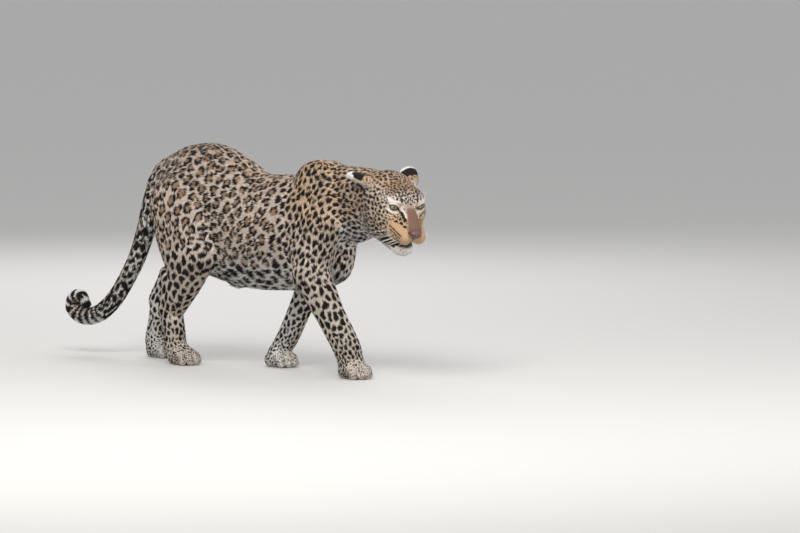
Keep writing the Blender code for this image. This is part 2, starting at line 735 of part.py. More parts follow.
def slot_of(name):
    """The material slot of a node, from the first word of its name."""
    slots = {"head": "coat_tan", "neck": "coat_tan", "ear": "coat_tan", "chest": "coat_cream", "loin": "coat_cream"}
    slots |= {"fore": "coat_limb", "hind": "coat_limb", "tail": "coat_tail"}
    slots |= {"nose": "nose_leather", "eyelids": "eyelid_skin", "eye": "iris"}
    return slots[name.split("_")[0]]


def paint(found):
    slot = slot_of(found.name)
    material = bpy.data.materials.get(slot) or bpy.data.materials.new(slot)
    material.use_nodes = True
    shader = material.node_tree.nodes["Principled BSDF"]
    *colour, roughness = MATERIALS[slot]
    shader.inputs["Base Color"].default_value = (*colour, 1)
    shader.inputs["Roughness"].default_value = roughness
    shader.inputs["Metallic"].default_value = 0
    found.data.materials.clear()
    found.data.materials.append(material)
    found.data.shade_smooth()


def centre_on_floor(pieces):
    """Moves the whole so that the middle of its box stands over the origin."""
    corners = np.array([vertex.co[:] for piece in pieces for vertex in piece.data.vertices])
    middle = (corners.min(0) + corners.max(0)) / 2
    for piece in pieces:
        for vertex in piece.data.vertices:
            vertex.co.x -= middle[0]
            vertex.co.y -= middle[1]


def main():
    for old in list(bpy.data.objects):
        bpy.data.objects.remove(old)
    pieces = body_objects()
    pieces += head_objects()
    centre_on_floor(pieces)
    for piece in pieces:
        keep_largest(piece)
        paint(piece)
        print(piece.name, len(piece.data.polygons), "faces")


if __name__ == "__main__":
    main()
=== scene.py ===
# %% [markdown]
# # A walking leopard
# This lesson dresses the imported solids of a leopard. The solids give the size and the pose. Here the animal
# gets a finer skin, a spotted coat of small tufts, wet eyes, nose leather, lips and whiskers.
# %% Load the frame
import math

import bmesh
import bpy
import numpy as np
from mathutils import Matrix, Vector


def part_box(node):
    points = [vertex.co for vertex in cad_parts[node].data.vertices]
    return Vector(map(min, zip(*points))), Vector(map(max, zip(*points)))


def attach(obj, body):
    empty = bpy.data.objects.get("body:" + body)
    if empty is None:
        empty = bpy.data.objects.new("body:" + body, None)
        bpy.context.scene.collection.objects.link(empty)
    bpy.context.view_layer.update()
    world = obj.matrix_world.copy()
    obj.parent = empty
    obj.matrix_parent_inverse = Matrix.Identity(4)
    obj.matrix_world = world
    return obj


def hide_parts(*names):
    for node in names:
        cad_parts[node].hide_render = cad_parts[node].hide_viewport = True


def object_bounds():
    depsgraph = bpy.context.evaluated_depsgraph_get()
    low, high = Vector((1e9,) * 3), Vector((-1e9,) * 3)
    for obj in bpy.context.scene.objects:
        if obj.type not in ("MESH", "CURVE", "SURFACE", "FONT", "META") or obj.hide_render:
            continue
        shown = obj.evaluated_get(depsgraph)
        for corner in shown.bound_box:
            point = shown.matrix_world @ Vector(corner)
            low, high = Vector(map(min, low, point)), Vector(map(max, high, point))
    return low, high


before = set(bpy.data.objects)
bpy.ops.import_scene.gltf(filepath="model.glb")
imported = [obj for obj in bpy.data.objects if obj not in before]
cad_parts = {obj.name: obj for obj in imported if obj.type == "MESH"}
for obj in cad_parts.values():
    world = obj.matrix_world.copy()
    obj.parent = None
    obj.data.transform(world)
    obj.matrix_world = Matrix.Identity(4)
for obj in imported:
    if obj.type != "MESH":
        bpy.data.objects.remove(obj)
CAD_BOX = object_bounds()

print("CAD box", [tuple(round(v, 3) for v in corner) for corner in CAD_BOX])

# %% [markdown]
# ## The sizes of the body
# A real skin could be sculpted by hand. Here it is worked out from the same named sizes as the solids, so
# that both always agree: a trunk, a neck, a tail and four legs as tubes along curves, and a head of balls.
# %% Sizes of the body
MM = 0.001
EYE_MIDPOINT = np.array([0.5779, -0.0734, 0.4864])
HEAD_TURN, HEAD_NOD = math.radians(-25), math.radians(-26)
EYE_HALF_SPACING, EYE_DEPTH = 0.0378, -0.0075
EYEBALL_RADIUS, LID_THICKNESS = 0.0145, 0.0026
EYE_OUTWARD, LID_SLANT = math.radians(18), math.radians(14)
WRIST_CUT = 0.072
SIDES = {"right": -1, "left": 1}

# The trunk from rump to brisket: x, height of the back, height of the belly, half width
TRUNK = (
    (-0.420, 0.535, 0.455, 0.028),
    (-0.383, 0.584, 0.405, 0.046),
    (-0.331, 0.620, 0.345, 0.074),
    (-0.275, 0.635, 0.298, 0.096),
    (-0.208, 0.632, 0.262, 0.101),
    (-0.135, 0.602, 0.240, 0.102),
    (-0.060, 0.566, 0.226, 0.108),
    (0.010, 0.551, 0.223, 0.115),
    (0.080, 0.552, 0.226, 0.117),
    (0.150, 0.556, 0.230, 0.111),
    (0.205, 0.574, 0.242, 0.096),
    (0.245, 0.576, 0.270, 0.076),
    (0.272, 0.556, 0.310, 0.052),
)

# The neck: x, y, z of its middle, then how far it reaches to the side, up and down
NECK = (
    (0.200, 0.000, 0.462, 0.082, 0.097, 0.118),
    (0.260, -0.002, 0.472, 0.078, 0.112, 0.116),
    (0.330, -0.010, 0.484, 0.074, 0.102, 0.117),
    (0.400, -0.022, 0.496, 0.074, 0.088, 0.108),
    (0.465, -0.036, 0.500, 0.073, 0.073, 0.096),
)

# The tail hangs behind the rump and curls up at its end: x, y, z and radius
TAIL = (
    (-0.331, 0.000, 0.555, 0.026),
    (-0.395, 0.000, 0.524, 0.031),
    (-0.431, 0.000, 0.450, 0.031),
    (-0.453, 0.000, 0.380, 0.030),
    (-0.486, 0.000, 0.300, 0.028),
    (-0.529, 0.000, 0.230, 0.026),
    (-0.580, 0.000, 0.165, 0.025),
    (-0.638, 0.000, 0.122, 0.025),
    (-0.692, -0.004, 0.110, 0.025),
    (-0.728, -0.010, 0.130, 0.024),
    (-0.722, -0.017, 0.161, 0.021),
    (-0.692, -0.021, 0.168, 0.018),
    (-0.672, -0.022, 0.150, 0.014),
)

# Each leg from the top down, and its paw: x, y of the middle of the sole and the way it points
FORE_LEGS = {
    "right": {
        "blade": (0.216, -0.046, 0.566),
        "shoulder": (0.268, -0.078, 0.415),
        "elbow": (0.244, -0.092, 0.280),
        "wrist": (0.359, -0.075, 0.092),
        "knuckle": (0.371, -0.068, 0.050),
        "paw": (0.383, -0.066, math.radians(-4)),
        "girth": 1.12,
    },
    "left": {
        "blade": (0.200, 0.046, 0.560),
        "shoulder": (0.205, 0.068, 0.405),
        "elbow": (0.110, 0.082, 0.268),
        "wrist": (0.024, 0.066, 0.085),
        "knuckle": (-0.002, 0.062, 0.048),
        "paw": (0.004, 0.060, math.radians(2)),
        "girth": 0.9,
    },
}
HIND_LEGS = {
    "right": {
        "hip": (-0.291, -0.068, 0.455),
        "stifle": (-0.174, -0.092, 0.308),
        "hock": (-0.290, -0.074, 0.150),
        "knuckle": (-0.285, -0.065, 0.050),
        "paw": (-0.254, -0.064, math.radians(-3)),
        "seat": (-0.310, -0.056, 0.445),
    },
    "left": {
        "hip": (-0.306, 0.068, 0.455),
        "stifle": (-0.322, 0.090, 0.302),
        "hock": (-0.460, 0.072, 0.155),
        "knuckle": (-0.476, 0.064, 0.050),
        "paw": (-0.450, 0.062, math.radians(3)),
        "seat": (-0.338, 0.056, 0.445),
    },
}

# Each ear in the head's own frame: its root, the way its tip points and the way its cup opens
EARS = {
    "right": ((-0.112, -0.063, 0.008), (-0.64, -0.76, 0.10), (0.10, -0.45, -0.85)),
    "left": ((-0.108, 0.054, -0.001), (-0.93, 0.16, 0.27), (0.00, 0.62, -0.78)),
}


def unit(vectors):
    """Each vector divided by its own length."""
    vectors = np.asarray(vectors, float)
    return vectors / (np.linalg.norm(vectors, axis=-1, keepdims=True) + 1e-12)


def head_axes():
    """Columns: the head's forward, left and up directions, from its turn and its nod."""
    forward = np.array([
        math.cos(HEAD_TURN) * math.cos(HEAD_NOD),
        math.sin(HEAD_TURN) * math.cos(HEAD_NOD),
        math.sin(HEAD_NOD),
    ])
    left = np.array([-math.sin(HEAD_TURN), math.cos(HEAD_TURN), 0.0])
    return np.column_stack([forward, left, np.cross(forward, left)])


HEAD = head_axes()


def on_head(forward, left, up):
    """A place given in the head's own frame, measured from the point between the eyes."""
    return EYE_MIDPOINT + HEAD @ np.array([forward, left, up])


def head_place(points):
    """Points of the body as forward, left and up in the head's own frame."""
    return (points - EYE_MIDPOINT) @ HEAD


def eye_centre(side):
    return on_head(EYE_DEPTH, side * EYE_HALF_SPACING, 0)


eye_low, eye_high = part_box("eye_right")
SHIFT = (np.array(eye_low) + np.array(eye_high)) / 2 - eye_centre(-1)
print("the packed body stands", np.round(SHIFT, 4), "from its recipe")

# %% [markdown]
# ## A solid as distances on a grid
# Flesh has no hard joints. A field of distances melts tubes and balls into each other: where two forms come
# near, the crease between them is filled. The surface is then drawn where the distance is zero.
# %% Distances, balls and tubes
FAR = 0.05
HANDFUL, SEED_HANDFUL = 50000, 3000


def smooth_union(a, b, blend):
    """The nearer of two distances, less a quarter of the blend times the square of how much they overlap."""
    crease = np.maximum(blend - np.abs(a - b), 0) / blend
    return np.minimum(a, b) - crease * crease * blend / 4


def curve_through(rows, count):
    """A Catmull-Rom curve through rows of numbers, read at count even steps."""
    rows = np.asarray(rows, float)
    padded = np.vstack([2 * rows[0] - rows[1], rows, 2 * rows[-1] - rows[-2]])
    at = np.linspace(0, len(rows) - 1, count)
    i = np.minimum(at.astype(int), len(rows) - 2)
    t = (at - i)[:, None]
    a, b, c, d = (padded[i + n] for n in range(4))
    return b + 0.5 * t * (c - a + t * (2 * a - 5 * b + 4 * c - d + t * (3 * (b - c) + d - a)))


def nearest_on_path(points, path):
    """Where on a path of short lines each point is nearest, as the line's number and a part of one."""
    best, at = np.full(len(points), np.inf, np.float32), np.zeros(len(points), np.float32)
    for n, (start, end) in enumerate(zip(path[:-1].astype(np.float32), path[1:].astype(np.float32))):
        line, offset = end - start, points - start
        t = np.clip(offset @ line / (line @ line), 0, 1)
        gap = ((offset - t[:, None] * line) ** 2).sum(1)
        nearer = gap < best
        best[nearer] = gap[nearer]
        at[nearer] = n + t[nearer]
    return at


class Path:
    """A curve with a reach to the side, the front and the back at each of its points."""

    def __init__(self, stations, side=(0, 1, 0)):
        rows = np.array([list(row) + [row[-1]] * (6 - len(row)) for row in stations], float)
        self.count = 6 * (len(rows) - 1) + 1
        rows = curve_through(rows, self.count)
        self.line, self.reach = rows[:, :3], np.maximum(rows[:, 3:], MM)
        self.along = unit(np.gradient(self.line, axis=0))
        side = np.asarray(side, float)
        self.across = unit(side - self.along * (self.along @ side)[:, None])
        self.front = np.cross(self.along, self.across)

    def place(self, points):
        """The number of each point's place along the path, and a reader for tables kept along it."""
        at = nearest_on_path(points, self.line)
        i = np.minimum(at.astype(int), self.count - 2)
        t = (at - i)[:, None]

        def read(table):
            table = table.astype(np.float32)
            return table[i] * (1 - t) + table[i + 1] * t

        return at, read

    def distance(self, points, cap=1.0):
        """The distances of many points, a handful at a time to spare the memory, and their places."""
        handfuls = np.array_split(points, len(points) // HANDFUL + 1)
        found = [self.distance_of_few(few, cap) for few in handfuls]
        return tuple(np.concatenate(column) for column in zip(*found))

    def distance_of_few(self, points, cap):
        """k0 (k0 - 1) / k1 of the ellipsoid with the path's reach at the nearest place, and that place."""
        at, read = self.place(points)
        q, r = points - read(self.line), read(self.reach)
        depth = (q * read(self.front)).sum(1)
        to_edge = np.where(depth > 0, r[:, 1], r[:, 2])
        q = np.stack([(q * read(self.across)).sum(1), depth, (q * read(self.along)).sum(1)], 1)
        r = np.stack([r[:, 0], to_edge, np.minimum(r[:, 0], to_edge) * cap], 1)
        k0 = np.sqrt(((q / r) ** 2).sum(1)) + 1e-6
        k1 = np.sqrt(((q / r**2) ** 2).sum(1)) + 1e-6
        return k0 * (k0 - 1) / k1, at


class Form:
    """A solid held as distances on a grid, below zero inside and above zero outside."""

    def __init__(self, low, high, step):
        self.axes = [np.arange(a, b, step, dtype=np.float32) for a, b in zip(low, high)]
        self.field = np.full([len(axis) for axis in self.axes], FAR, np.float32)

    def near(self, low, high):
        """The part of the grid within FAR of a box, and its points."""
        cut = tuple(
            slice(*np.searchsorted(axis, (a - FAR, b + FAR))) for axis, a, b in zip(self.axes, low, high)
        )
        grids = np.meshgrid(*(axis[c] for axis, c in zip(self.axes, cut)), indexing="ij")
        return cut, np.stack(grids, -1)

    def join(self, cut, distance, blend, carve):
        if carve:
            self.field[cut] = -smooth_union(-self.field[cut], distance, blend)
        else:
            self.field[cut] = smooth_union(self.field[cut], distance, blend)

    def ball(self, centre, radii, blend=0.02, axes=np.eye(3), carve=False):
        """An ellipsoid: k0 (k0 - 1) / k1, where k0 is the length of q / r and k1 that of q / r^2."""
        radii = np.asarray(radii, np.float32)
        reach = np.abs(axes) @ radii
        cut, points = self.near(centre - reach, centre + reach)
        q = (points - np.asarray(centre, np.float32)) @ axes.astype(np.float32)
        k0 = np.sqrt(((q / radii) ** 2).sum(-1)) + 1e-6
        k1 = np.sqrt(((q / radii**2) ** 2).sum(-1)) + 1e-6
        self.join(cut, k0 * (k0 - 1) / k1, blend, carve)

    def sweep(self, stations, blend=0.02, side=(0, 1, 0), carve=False, cap=1.0):
        """A tube along a curve. Each station is x, y, z and the reach to the side, the front and the back."""
        path = Path(stations, side)
        spread = path.reach.max(1)[:, None]
        cut, points = self.near((path.line - spread).min(0), (path.line + spread).max(0))
        distance, _ = path.distance(points.reshape(-1, 3), cap)
        self.join(cut, distance.reshape(points.shape[:3]), blend, carve)

    def shrink(self, depth):
        """Moves the surface in by the depth of the coat, and ends it flat on the floor."""
        x, y, z = np.meshgrid(*self.axes, indexing="ij", sparse=True)
        self.field = np.maximum(self.field + depth(x, y, z), -z).astype(np.float32)
        return self

    def surface(self):
        """Surface nets: a point in each cell that the surface crosses, at the mean of where it cuts the
        cell's edges, and a face round each grid edge that it cuts."""
        for axis in range(3):
            np.moveaxis(self.field, axis, 0)[[0, -1]] = FAR
        inside = self.field < 0
        n0, n1, n2 = (size - 1 for size in inside.shape)
        corners = np.array([(a, b, c) for a in (0, 1) for b in (0, 1) for c in (0, 1)])
        count = sum(inside[a:a + n0, b:b + n1, c:c + n2].astype(np.int8) for a, b, c in corners)
        cells = np.argwhere((count > 0) & (count < len(corners)))
        index = np.full((n0, n1, n2), -1)
        index[tuple(cells.T)] = np.arange(len(cells))
        at = cells[:, None, :] + corners
        values = self.field[tuple(np.moveaxis(at, -1, 0))].astype(float)
        places = np.stack([self.axes[k][at[..., k]] for k in range(3)], -1).astype(float)
        total, hits = np.zeros((len(cells), 3)), np.zeros(len(cells))
        for a, b in np.argwhere(np.abs(corners[:, None] - corners).sum(-1) == 1):
            crossed = (values[:, a] < 0) & (values[:, b] >= 0)
            t = (values[crossed, a] / (values[crossed, a] - values[crossed, b]))[:, None]
            total[crossed] += places[crossed, a] * (1 - t) + places[crossed, b] * t
            hits[crossed] += 1
        faces = [self.faces_across(inside, index, axis) for axis in range(3)]
        return total / hits[:, None], np.concatenate(faces)

    def faces_across(self, inside, index, axis):
        """The faces round the grid edges that run along one axis, each turned outwards."""
        lower, upper = [slice(None)] * 3, [slice(None)] * 3
        lower[axis], upper[axis] = slice(0, -1), slice(1, None)
        edges = np.argwhere(inside[tuple(lower)] != inside[tuple(upper)])
        step_u, step_v = np.eye(3, dtype=int)[(axis + 1) % 3], np.eye(3, dtype=int)[(axis + 2) % 3]
        ring = (edges - step_u - step_v, edges - step_v, edges, edges - step_u)
        quads = np.stack([index[tuple(corner.T)] for corner in ring], 1)
        outside_first = ~inside[tuple(edges.T)]
        quads[outside_first] = quads[outside_first, ::-1]
        return quads


def between(a, b, part, shift=(0, 0, 0)):
    return np.asarray(a) * (1 - part) + np.asarray(b) * part + np.asarray(shift)


# %% [markdown]
# ## The forms of the body
# The shoulder blade stands up under the skin of a walking cat, the thigh is a wide flat muscle, and the
# lower legs are nearly round. Each leg is three or four tubes. Each paw is a pad with four toes.
# %% Trunk, neck, legs and paws
def trunk(form):
    stations = []
    for x, top, bottom, half_width in TRUNK:
        half_height = (top - bottom) / 2
        stations.append((x, 0, bottom + half_height, half_width, half_height))
    form.sweep(stations, cap=0.45)
    form.ball((-0.100, 0, 0.243), (0.034, 0.018, 0.021), 0.012)
    form.ball((0.222, 0, 0.552), (0.072, 0.056, 0.038), 0.04)


def fore_leg(form, blade, shoulder, elbow, wrist, knuckle, girth, **_):
    """Shoulder blade, upper arm, the muscle behind it and the forearm."""
    out = math.copysign(1, shoulder[1])
    middle = between(blade, shoulder, 0.55)
    form.sweep([(*blade, 0.024, 0.042), (*middle, 0.034, 0.058), (*shoulder, 0.038, 0.054)], 0.045)
    middle = between(shoulder, elbow, 0.5)
    form.sweep([(*shoulder, 0.041, 0.050), (*middle, 0.042, 0.056), (*elbow, 0.041, 0.049)], 0.035)
    back = between(blade, blade, 1, (-0.03, out * 0.012, -0.09))
    middle = between(back, elbow, 0.5)
    form.sweep([(*back, 0.028, 0.040), (*middle, 0.036, 0.050), (*elbow, 0.036, 0.036)], 0.03)
    forearm = (
        (elbow, 0.043, 0.053, 0.047),
        (between(elbow, wrist, 0.28), 0.041, 0.048, 0.042),
        (between(elbow, wrist, 0.60), 0.036, 0.038, 0.037),
        (wrist, 0.035, 0.034, 0.036),
        (knuckle, 0.035, 0.030, 0.032),
    )
    form.sweep([(*place, *(girth * r for r in reach)) for place, *reach in forearm], 0.015)


def hind_leg(form, hip, stifle, hock, knuckle, seat, **_):
    """Thigh, hamstring, the lower leg down to the foot, and the tendon that ends at the point of the hock."""
    top = between(hip, hip, 1, (-0.01, 0, 0.03))
    middle = between(hip, stifle, 0.5)
    form.sweep([(*top, 0.042, 0.080), (*middle, 0.051, 0.086), (*stifle, 0.046, 0.060)], 0.035)
    calf = between(stifle, hock, 0.28, (-0.034, 0, 0))
    middle = between(seat, calf, 0.5, (-0.012, 0, 0))
    form.sweep([(*seat, 0.042, 0.046), (*middle, 0.042, 0.048), (*calf, 0.036, 0.046)], 0.035)
    form.sweep([
        (*stifle, 0.045, 0.055, 0.060),
        (*between(stifle, hock, 0.4), 0.044, 0.050, 0.060),
        (*between(stifle, hock, 0.8), 0.037, 0.039, 0.046),
        (*hock, 0.033, 0.035, 0.036),
        (*between(hock, knuckle, 0.5), 0.032, 0.033, 0.033),
        (*knuckle, 0.034, 0.032, 0.033),
    ], 0.015)
    tendon = between(stifle, hock, 0.42, (-0.068, 0, 0))
    heel = between(hock, hock, 1, (-0.026, 0, 0.012))
    form.sweep([(*tendon, 0.024, 0.026), (*heel, 0.019, 0.019)], 0.02)


def paw(form, place):
    """The pad under the foot, the heel pad and four toes, whose soles lie on the floor."""
    x, y, heading = place
    axes = np.array([
        (math.cos(heading), -math.sin(heading), 0),
        (math.sin(heading), math.cos(heading), 0),
        (0, 0, 1),
    ])

    def at(forward, left, up):
        return np.array([x, y, 0]) + axes @ np.array([forward, left, up])

    form.ball(at(-0.008, 0, 0.026), (0.040, 0.036, 0.031), 0.015, axes)
    form.ball(at(-0.032, 0, 0.017), (0.019, 0.025, 0.022), 0.012, axes)
    for left, reach in ((-0.0285, 0.024), (-0.0100, 0.036), (0.0100, 0.036), (0.0285, 0.024)):
        toe = [
            (*at(0, left * 0.8, 0.033), 0.0135),
            (*at(reach * 0.7, left, 0.026), 0.0130),
            (*at(reach, left * 1.05, 0.0115), 0.0125),
        ]
        form.sweep(toe, 0.005, axes[:, 1])


# %% [markdown]
# ## The forms of the head
# The head is built in its own frame: a round skull, wide cheeks, a straight bridge of the nose, two whisker
# pads, a chin and a mouth that stands a little open. Each eye lies in a hollow under the brow.
# %% Skull, muzzle, ears
def head_ball(form, place, radii, blend, carve=False):
    form.ball(on_head(*place), radii, blend, HEAD, carve)


def head_sweep(form, rows, blend, carve=False, cap=1.0):
    form.sweep([(*on_head(*row[:3]), *row[3:]) for row in rows], blend, HEAD[:, 1], carve, cap)


MOUTH = (
    (-0.014, 0, -0.101, 0.044, 0.0032),
    (0.020, 0, -0.098, 0.044, 0.0040),
    (0.060, 0, -0.094, 0.044, 0.0062),
    (0.100, 0, -0.091, 0.044, 0.0090),
)


def head(form):
    """Skull, brow, cheeks, muzzle and lower jaw, with the mouth a little open and a hollow for each eye."""
    head_ball(form, (-0.090, 0, -0.012), (0.078, 0.064, 0.056), 0.03)
    head_ball(form, (-0.034, 0, 0.002), (0.048, 0.049, 0.040), 0.025)
    bridge = [
        (-0.020, 0, 0.002, 0.033, 0.020, 0.03),
        (0.030, 0, -0.012, 0.023, 0.014, 0.03),
        (0.068, 0, -0.036, 0.0185, 0.011, 0.02),
    ]
    head_sweep(form, bridge, 0.014)
    head_ball(form, (0.016, 0, -0.048), (0.052, 0.040, 0.036), 0.022)
    for side in SIDES.values():
        head_ball(form, (-0.062, side * 0.044, -0.050), (0.056, 0.034, 0.056), 0.025)
        head_ball(form, (-0.070, side * 0.040, -0.095), (0.044, 0.028, 0.036), 0.02)
        head_ball(form, (-0.024, side * 0.042, -0.030), (0.036, 0.020, 0.022), 0.028)
        head_ball(form, (-0.020, side * 0.031, 0.014), (0.026, 0.023, 0.013), 0.024)
        head_ball(form, (0.008, side * 0.031, -0.068), (0.042, 0.020, 0.027), 0.022)
        head_ball(form, (0.050, side * 0.0205, -0.062), (0.035, 0.0225, 0.0245), 0.013)
        jaw = [
            (-0.080, side * 0.042, -0.098, 0.018, 0.030),
            (-0.030, side * 0.028, -0.113, 0.018, 0.023),
            (0.020, side * 0.010, -0.118, 0.018, 0.019),
        ]
        head_sweep(form, jaw, 0.014)
    head_ball(form, (0.028, 0, -0.116), (0.024, 0.026, 0.021), 0.012)
    head_sweep(form, MOUTH, 0.004, carve=True, cap=0.3)
    for side in SIDES.values():
        hollow = (0.011, side * (EYE_HALF_SPACING + 0.001), -0.001)
        head_ball(form, hollow, (0.016, 0.0165, 0.0115), 0.014, carve=True)
        lid_radius = EYEBALL_RADIUS + 0.0022
        head_ball(form, (EYE_DEPTH, side * EYE_HALF_SPACING, 0), (lid_radius,) * 3, 0.008)


def nose(form):
    """The bare skin of the nose: a pad with a nostril that curls outwards on each side."""
    head_ball(form, (0.0805, 0, -0.0430), (0.0130, 0.0165, 0.0125), 0.005)
    for side in SIDES.values():
        nostril = [
            (0.096, side * 0.0065, -0.0440, 0.0028),
            (0.088, side * 0.0100, -0.0450, 0.0032),
            (0.082, side * 0.0160, -0.0430, 0.0018),
        ]
        head_sweep(form, nostril, 0.002, carve=True)


def ear_axes(tip, cup):
    """Columns: along the ear, across it and out of its cup, in the body's own frame."""
    tip = unit(tip)
    cup = unit(np.asarray(cup) - tip * (np.asarray(cup) @ tip))
    return HEAD @ np.column_stack([tip, np.cross(cup, tip), cup])


def ear(form, root, tip, cup):
    """A rounded blade hollowed on one side."""
    axes = ear_axes(tip, cup)
    middle = on_head(*root) + axes[:, 0] * 0.032
    form.ball(middle, (0.041, 0.030, 0.017), 0.008, axes)
    hollow = middle + axes[:, 2] * 0.0135 + axes[:, 0] * 0.004
    form.ball(hollow, (0.034, 0.0240, 0.0190), 0.004, axes, carve=True)


# %% [markdown]
# ## One skin
# The skin lies inside the solids by the depth of the coat: a few millimetres on the trunk, about one on the
# face and the feet. The body, the head and the paws are drawn on grids as fine as each needs. They are cut
# along planes and bridged there, so the result is one closed skin with no seam.
# %% Draw the skin
BODY_STEP, HEAD_STEP, PAW_STEP = 4.8 * MM, 1.8 * MM, 2.4 * MM
HEAD_PLANE = (np.array([0.413, -0.002, 0.525]), unit((0.95, -0.25, 0.12)))
BRIDGE_WIDTH = 1.5 * MM
EAR_DEPTH, SOCKET_GAP = 0.6 * MM, 1.3 * MM
THINNED_TO = 0.62


def smooth_step(value, start, end):
    """Zero before start, one after end, and 3 t^2 - 2 t^3 between them."""
    t = np.clip((value - start) / (end - start), 0, 1)
    return t * t * (3 - 2 * t)


def mix(a, b, share):
    return a * (1 - share) + b * share


def coat_depth(x, y, z):
    """The depth of the lying coat: deep on neck and trunk, shallow on face, legs and feet."""
    forward, _, _ = HEAD.T
    ahead = (x - EYE_MIDPOINT[0]) * forward[0] + (y - EYE_MIDPOINT[1]) * forward[1]
    ahead = ahead + (z - EYE_MIDPOINT[2]) * forward[2]
    on_legs = smooth_step(z, 0.09, 0.32)
    body = mix(1.5 * MM, 4.5 * MM, on_legs)
    return mix(body, 1.3 * MM, smooth_step(ahead, -0.13, -0.03) * (z > 0.3))


def flesh(form):
    trunk(form)
    form.sweep(NECK, 0.03)
    for leg in FORE_LEGS.values():
        fore_leg(form, **leg)
    for leg in HIND_LEGS.values():
        hind_leg(form, **leg)
    form.sweep(TAIL, 0.012)
    head(form)


def head_form():
    form = Form((0.35, -0.24, 0.30), (0.70, 0.08, 0.63), HEAD_STEP)
    form.sweep(NECK, 0.03)
    head(form)
    form.shrink(coat_depth)
    for side in SIDES.values():
        form.ball(eye_centre(side), (EYEBALL_RADIUS + SOCKET_GAP,) * 3, 2 * MM, carve=True)
    for places in EARS.values():
        blade = Form((0.35, -0.24, 0.30), (0.70, 0.08, 0.63), HEAD_STEP)
        ear(blade, *places)
        form.field = smooth_union(form.field, blade.field + EAR_DEPTH, 6 * MM)
    return form


def paw_form(place, leg, build):
    x, y, _ = place
    form = Form((x - 0.08, y - 0.06, -0.02), (x + 0.08, y + 0.06, WRIST_CUT + 0.02), PAW_STEP)
    build(form, **leg)
    paw(form, place)
    return form.shrink(coat_depth)


def cut_open(points, faces, planes):
    """The surface as a bmesh, less what lies beyond each plane, with a hole left there."""
    mesh = bpy.data.meshes.new("cut")
    mesh.from_pydata(points.tolist(), [], faces.tolist())
    made = bmesh.new()
    made.from_mesh(mesh)
    bpy.data.meshes.remove(mesh)
    for point, out in planes:
        geometry = made.verts[:] + made.edges[:] + made.faces[:]
        bmesh.ops.bisect_plane(
            made, geom=geometry, dist=1e-6, plane_co=tuple(point), plane_no=tuple(out), clear_outer=True
        )
    return made


def add_to(whole, part):
    mesh = bpy.data.meshes.new("part")
    part.to_mesh(mesh)
    part.free()
    whole.from_mesh(mesh)
    bpy.data.meshes.remove(mesh)


def arrays_of(made):
    """The points, triangles and point normals of a bmesh, thinned to a share of its triangles."""
    mesh = bpy.data.meshes.new("whole")
    bmesh.ops.triangulate(made, faces=made.faces[:])
    bmesh.ops.recalc_face_normals(made, faces=made.faces[:])
    made.to_mesh(mesh)
    made.free()
    held = bpy.data.objects.new("whole", mesh)
    bpy.context.scene.collection.objects.link(held)
    held.modifiers.new("thin", "DECIMATE").ratio = THINNED_TO
    thin = held.evaluated_get(bpy.context.evaluated_depsgraph_get()).to_mesh()
    points, normals = np.empty(len(thin.vertices) * 3), np.empty(len(thin.vertices) * 3)
    triangles = np.empty(len(thin.polygons) * 3, int)
    thin.vertices.foreach_get("co", points)
    thin.vertex_normals.foreach_get("vector", normals)
    thin.loops.foreach_get("vertex_index", triangles)
    bpy.data.objects.remove(held)
    bpy.data.meshes.remove(mesh)
    return points.reshape(-1, 3), triangles.reshape(-1, 3), normals.reshape(-1, 3)


def drawn_skin():
    """The body, the head and the four paws, cut along planes and bridged there."""
    floor_plane = (np.array([0, 0, WRIST_CUT]), np.array([0, 0, -1.0]))
    body = Form((-0.80, -0.20, -0.03), (0.62, 0.20, 0.69), BODY_STEP)
    flesh(body)
    whole = cut_open(*body.shrink(coat_depth).surface(), [HEAD_PLANE, floor_plane])
    point, out = HEAD_PLANE
    add_to(whole, cut_open(*head_form().surface(), [(point + out * BRIDGE_WIDTH, -out)]))
    holes = [(point, 0.20)]
    for legs, build in ((FORE_LEGS, fore_leg), (HIND_LEGS, hind_leg)):
        for leg in legs.values():
            below = (np.array([0, 0, WRIST_CUT - BRIDGE_WIDTH]), np.array([0, 0, 1.0]))
            add_to(whole, cut_open(*paw_form(leg["paw"], leg, build).surface(), [below]))
            holes.append((np.array([*leg["knuckle"][:2], WRIST_CUT]), 0.07))
    rim = [edge for edge in whole.edges if edge.is_boundary]
    middles = np.array([(edge.verts[0].co + edge.verts[1].co)[:] for edge in rim]) / 2
    for place, reach in holes:
        near = np.linalg.norm(middles - place, axis=1) < reach
        found = [edge for edge, close in zip(rim, near) if close]
        bmesh.ops.bridge_loops(whole, edges=found)
    left = sum(edge.is_boundary for edge in whole.edges)
    print("open edges left on the skin:", left)
    return arrays_of(whole)


SKIN_POINTS, SKIN_TRIANGLES, SKIN_NORMALS = drawn_skin()
print("skin:", len(SKIN_POINTS), "points,", len(SKIN_TRIANGLES), "triangles")

# %% [markdown]
# ## The lie of the coat
# Hair grows from the nose back over the head, down the neck and along the back, down each leg and out along
# the tail. Each part of the body has a curve down its middle. A point of the skin follows the curves of the
# parts that it is nearest to, and the directions are then smoothed over the skin.
# %% Parts of the body and their curves
NOSE_TIP = on_head(0.092, 0, -0.045)


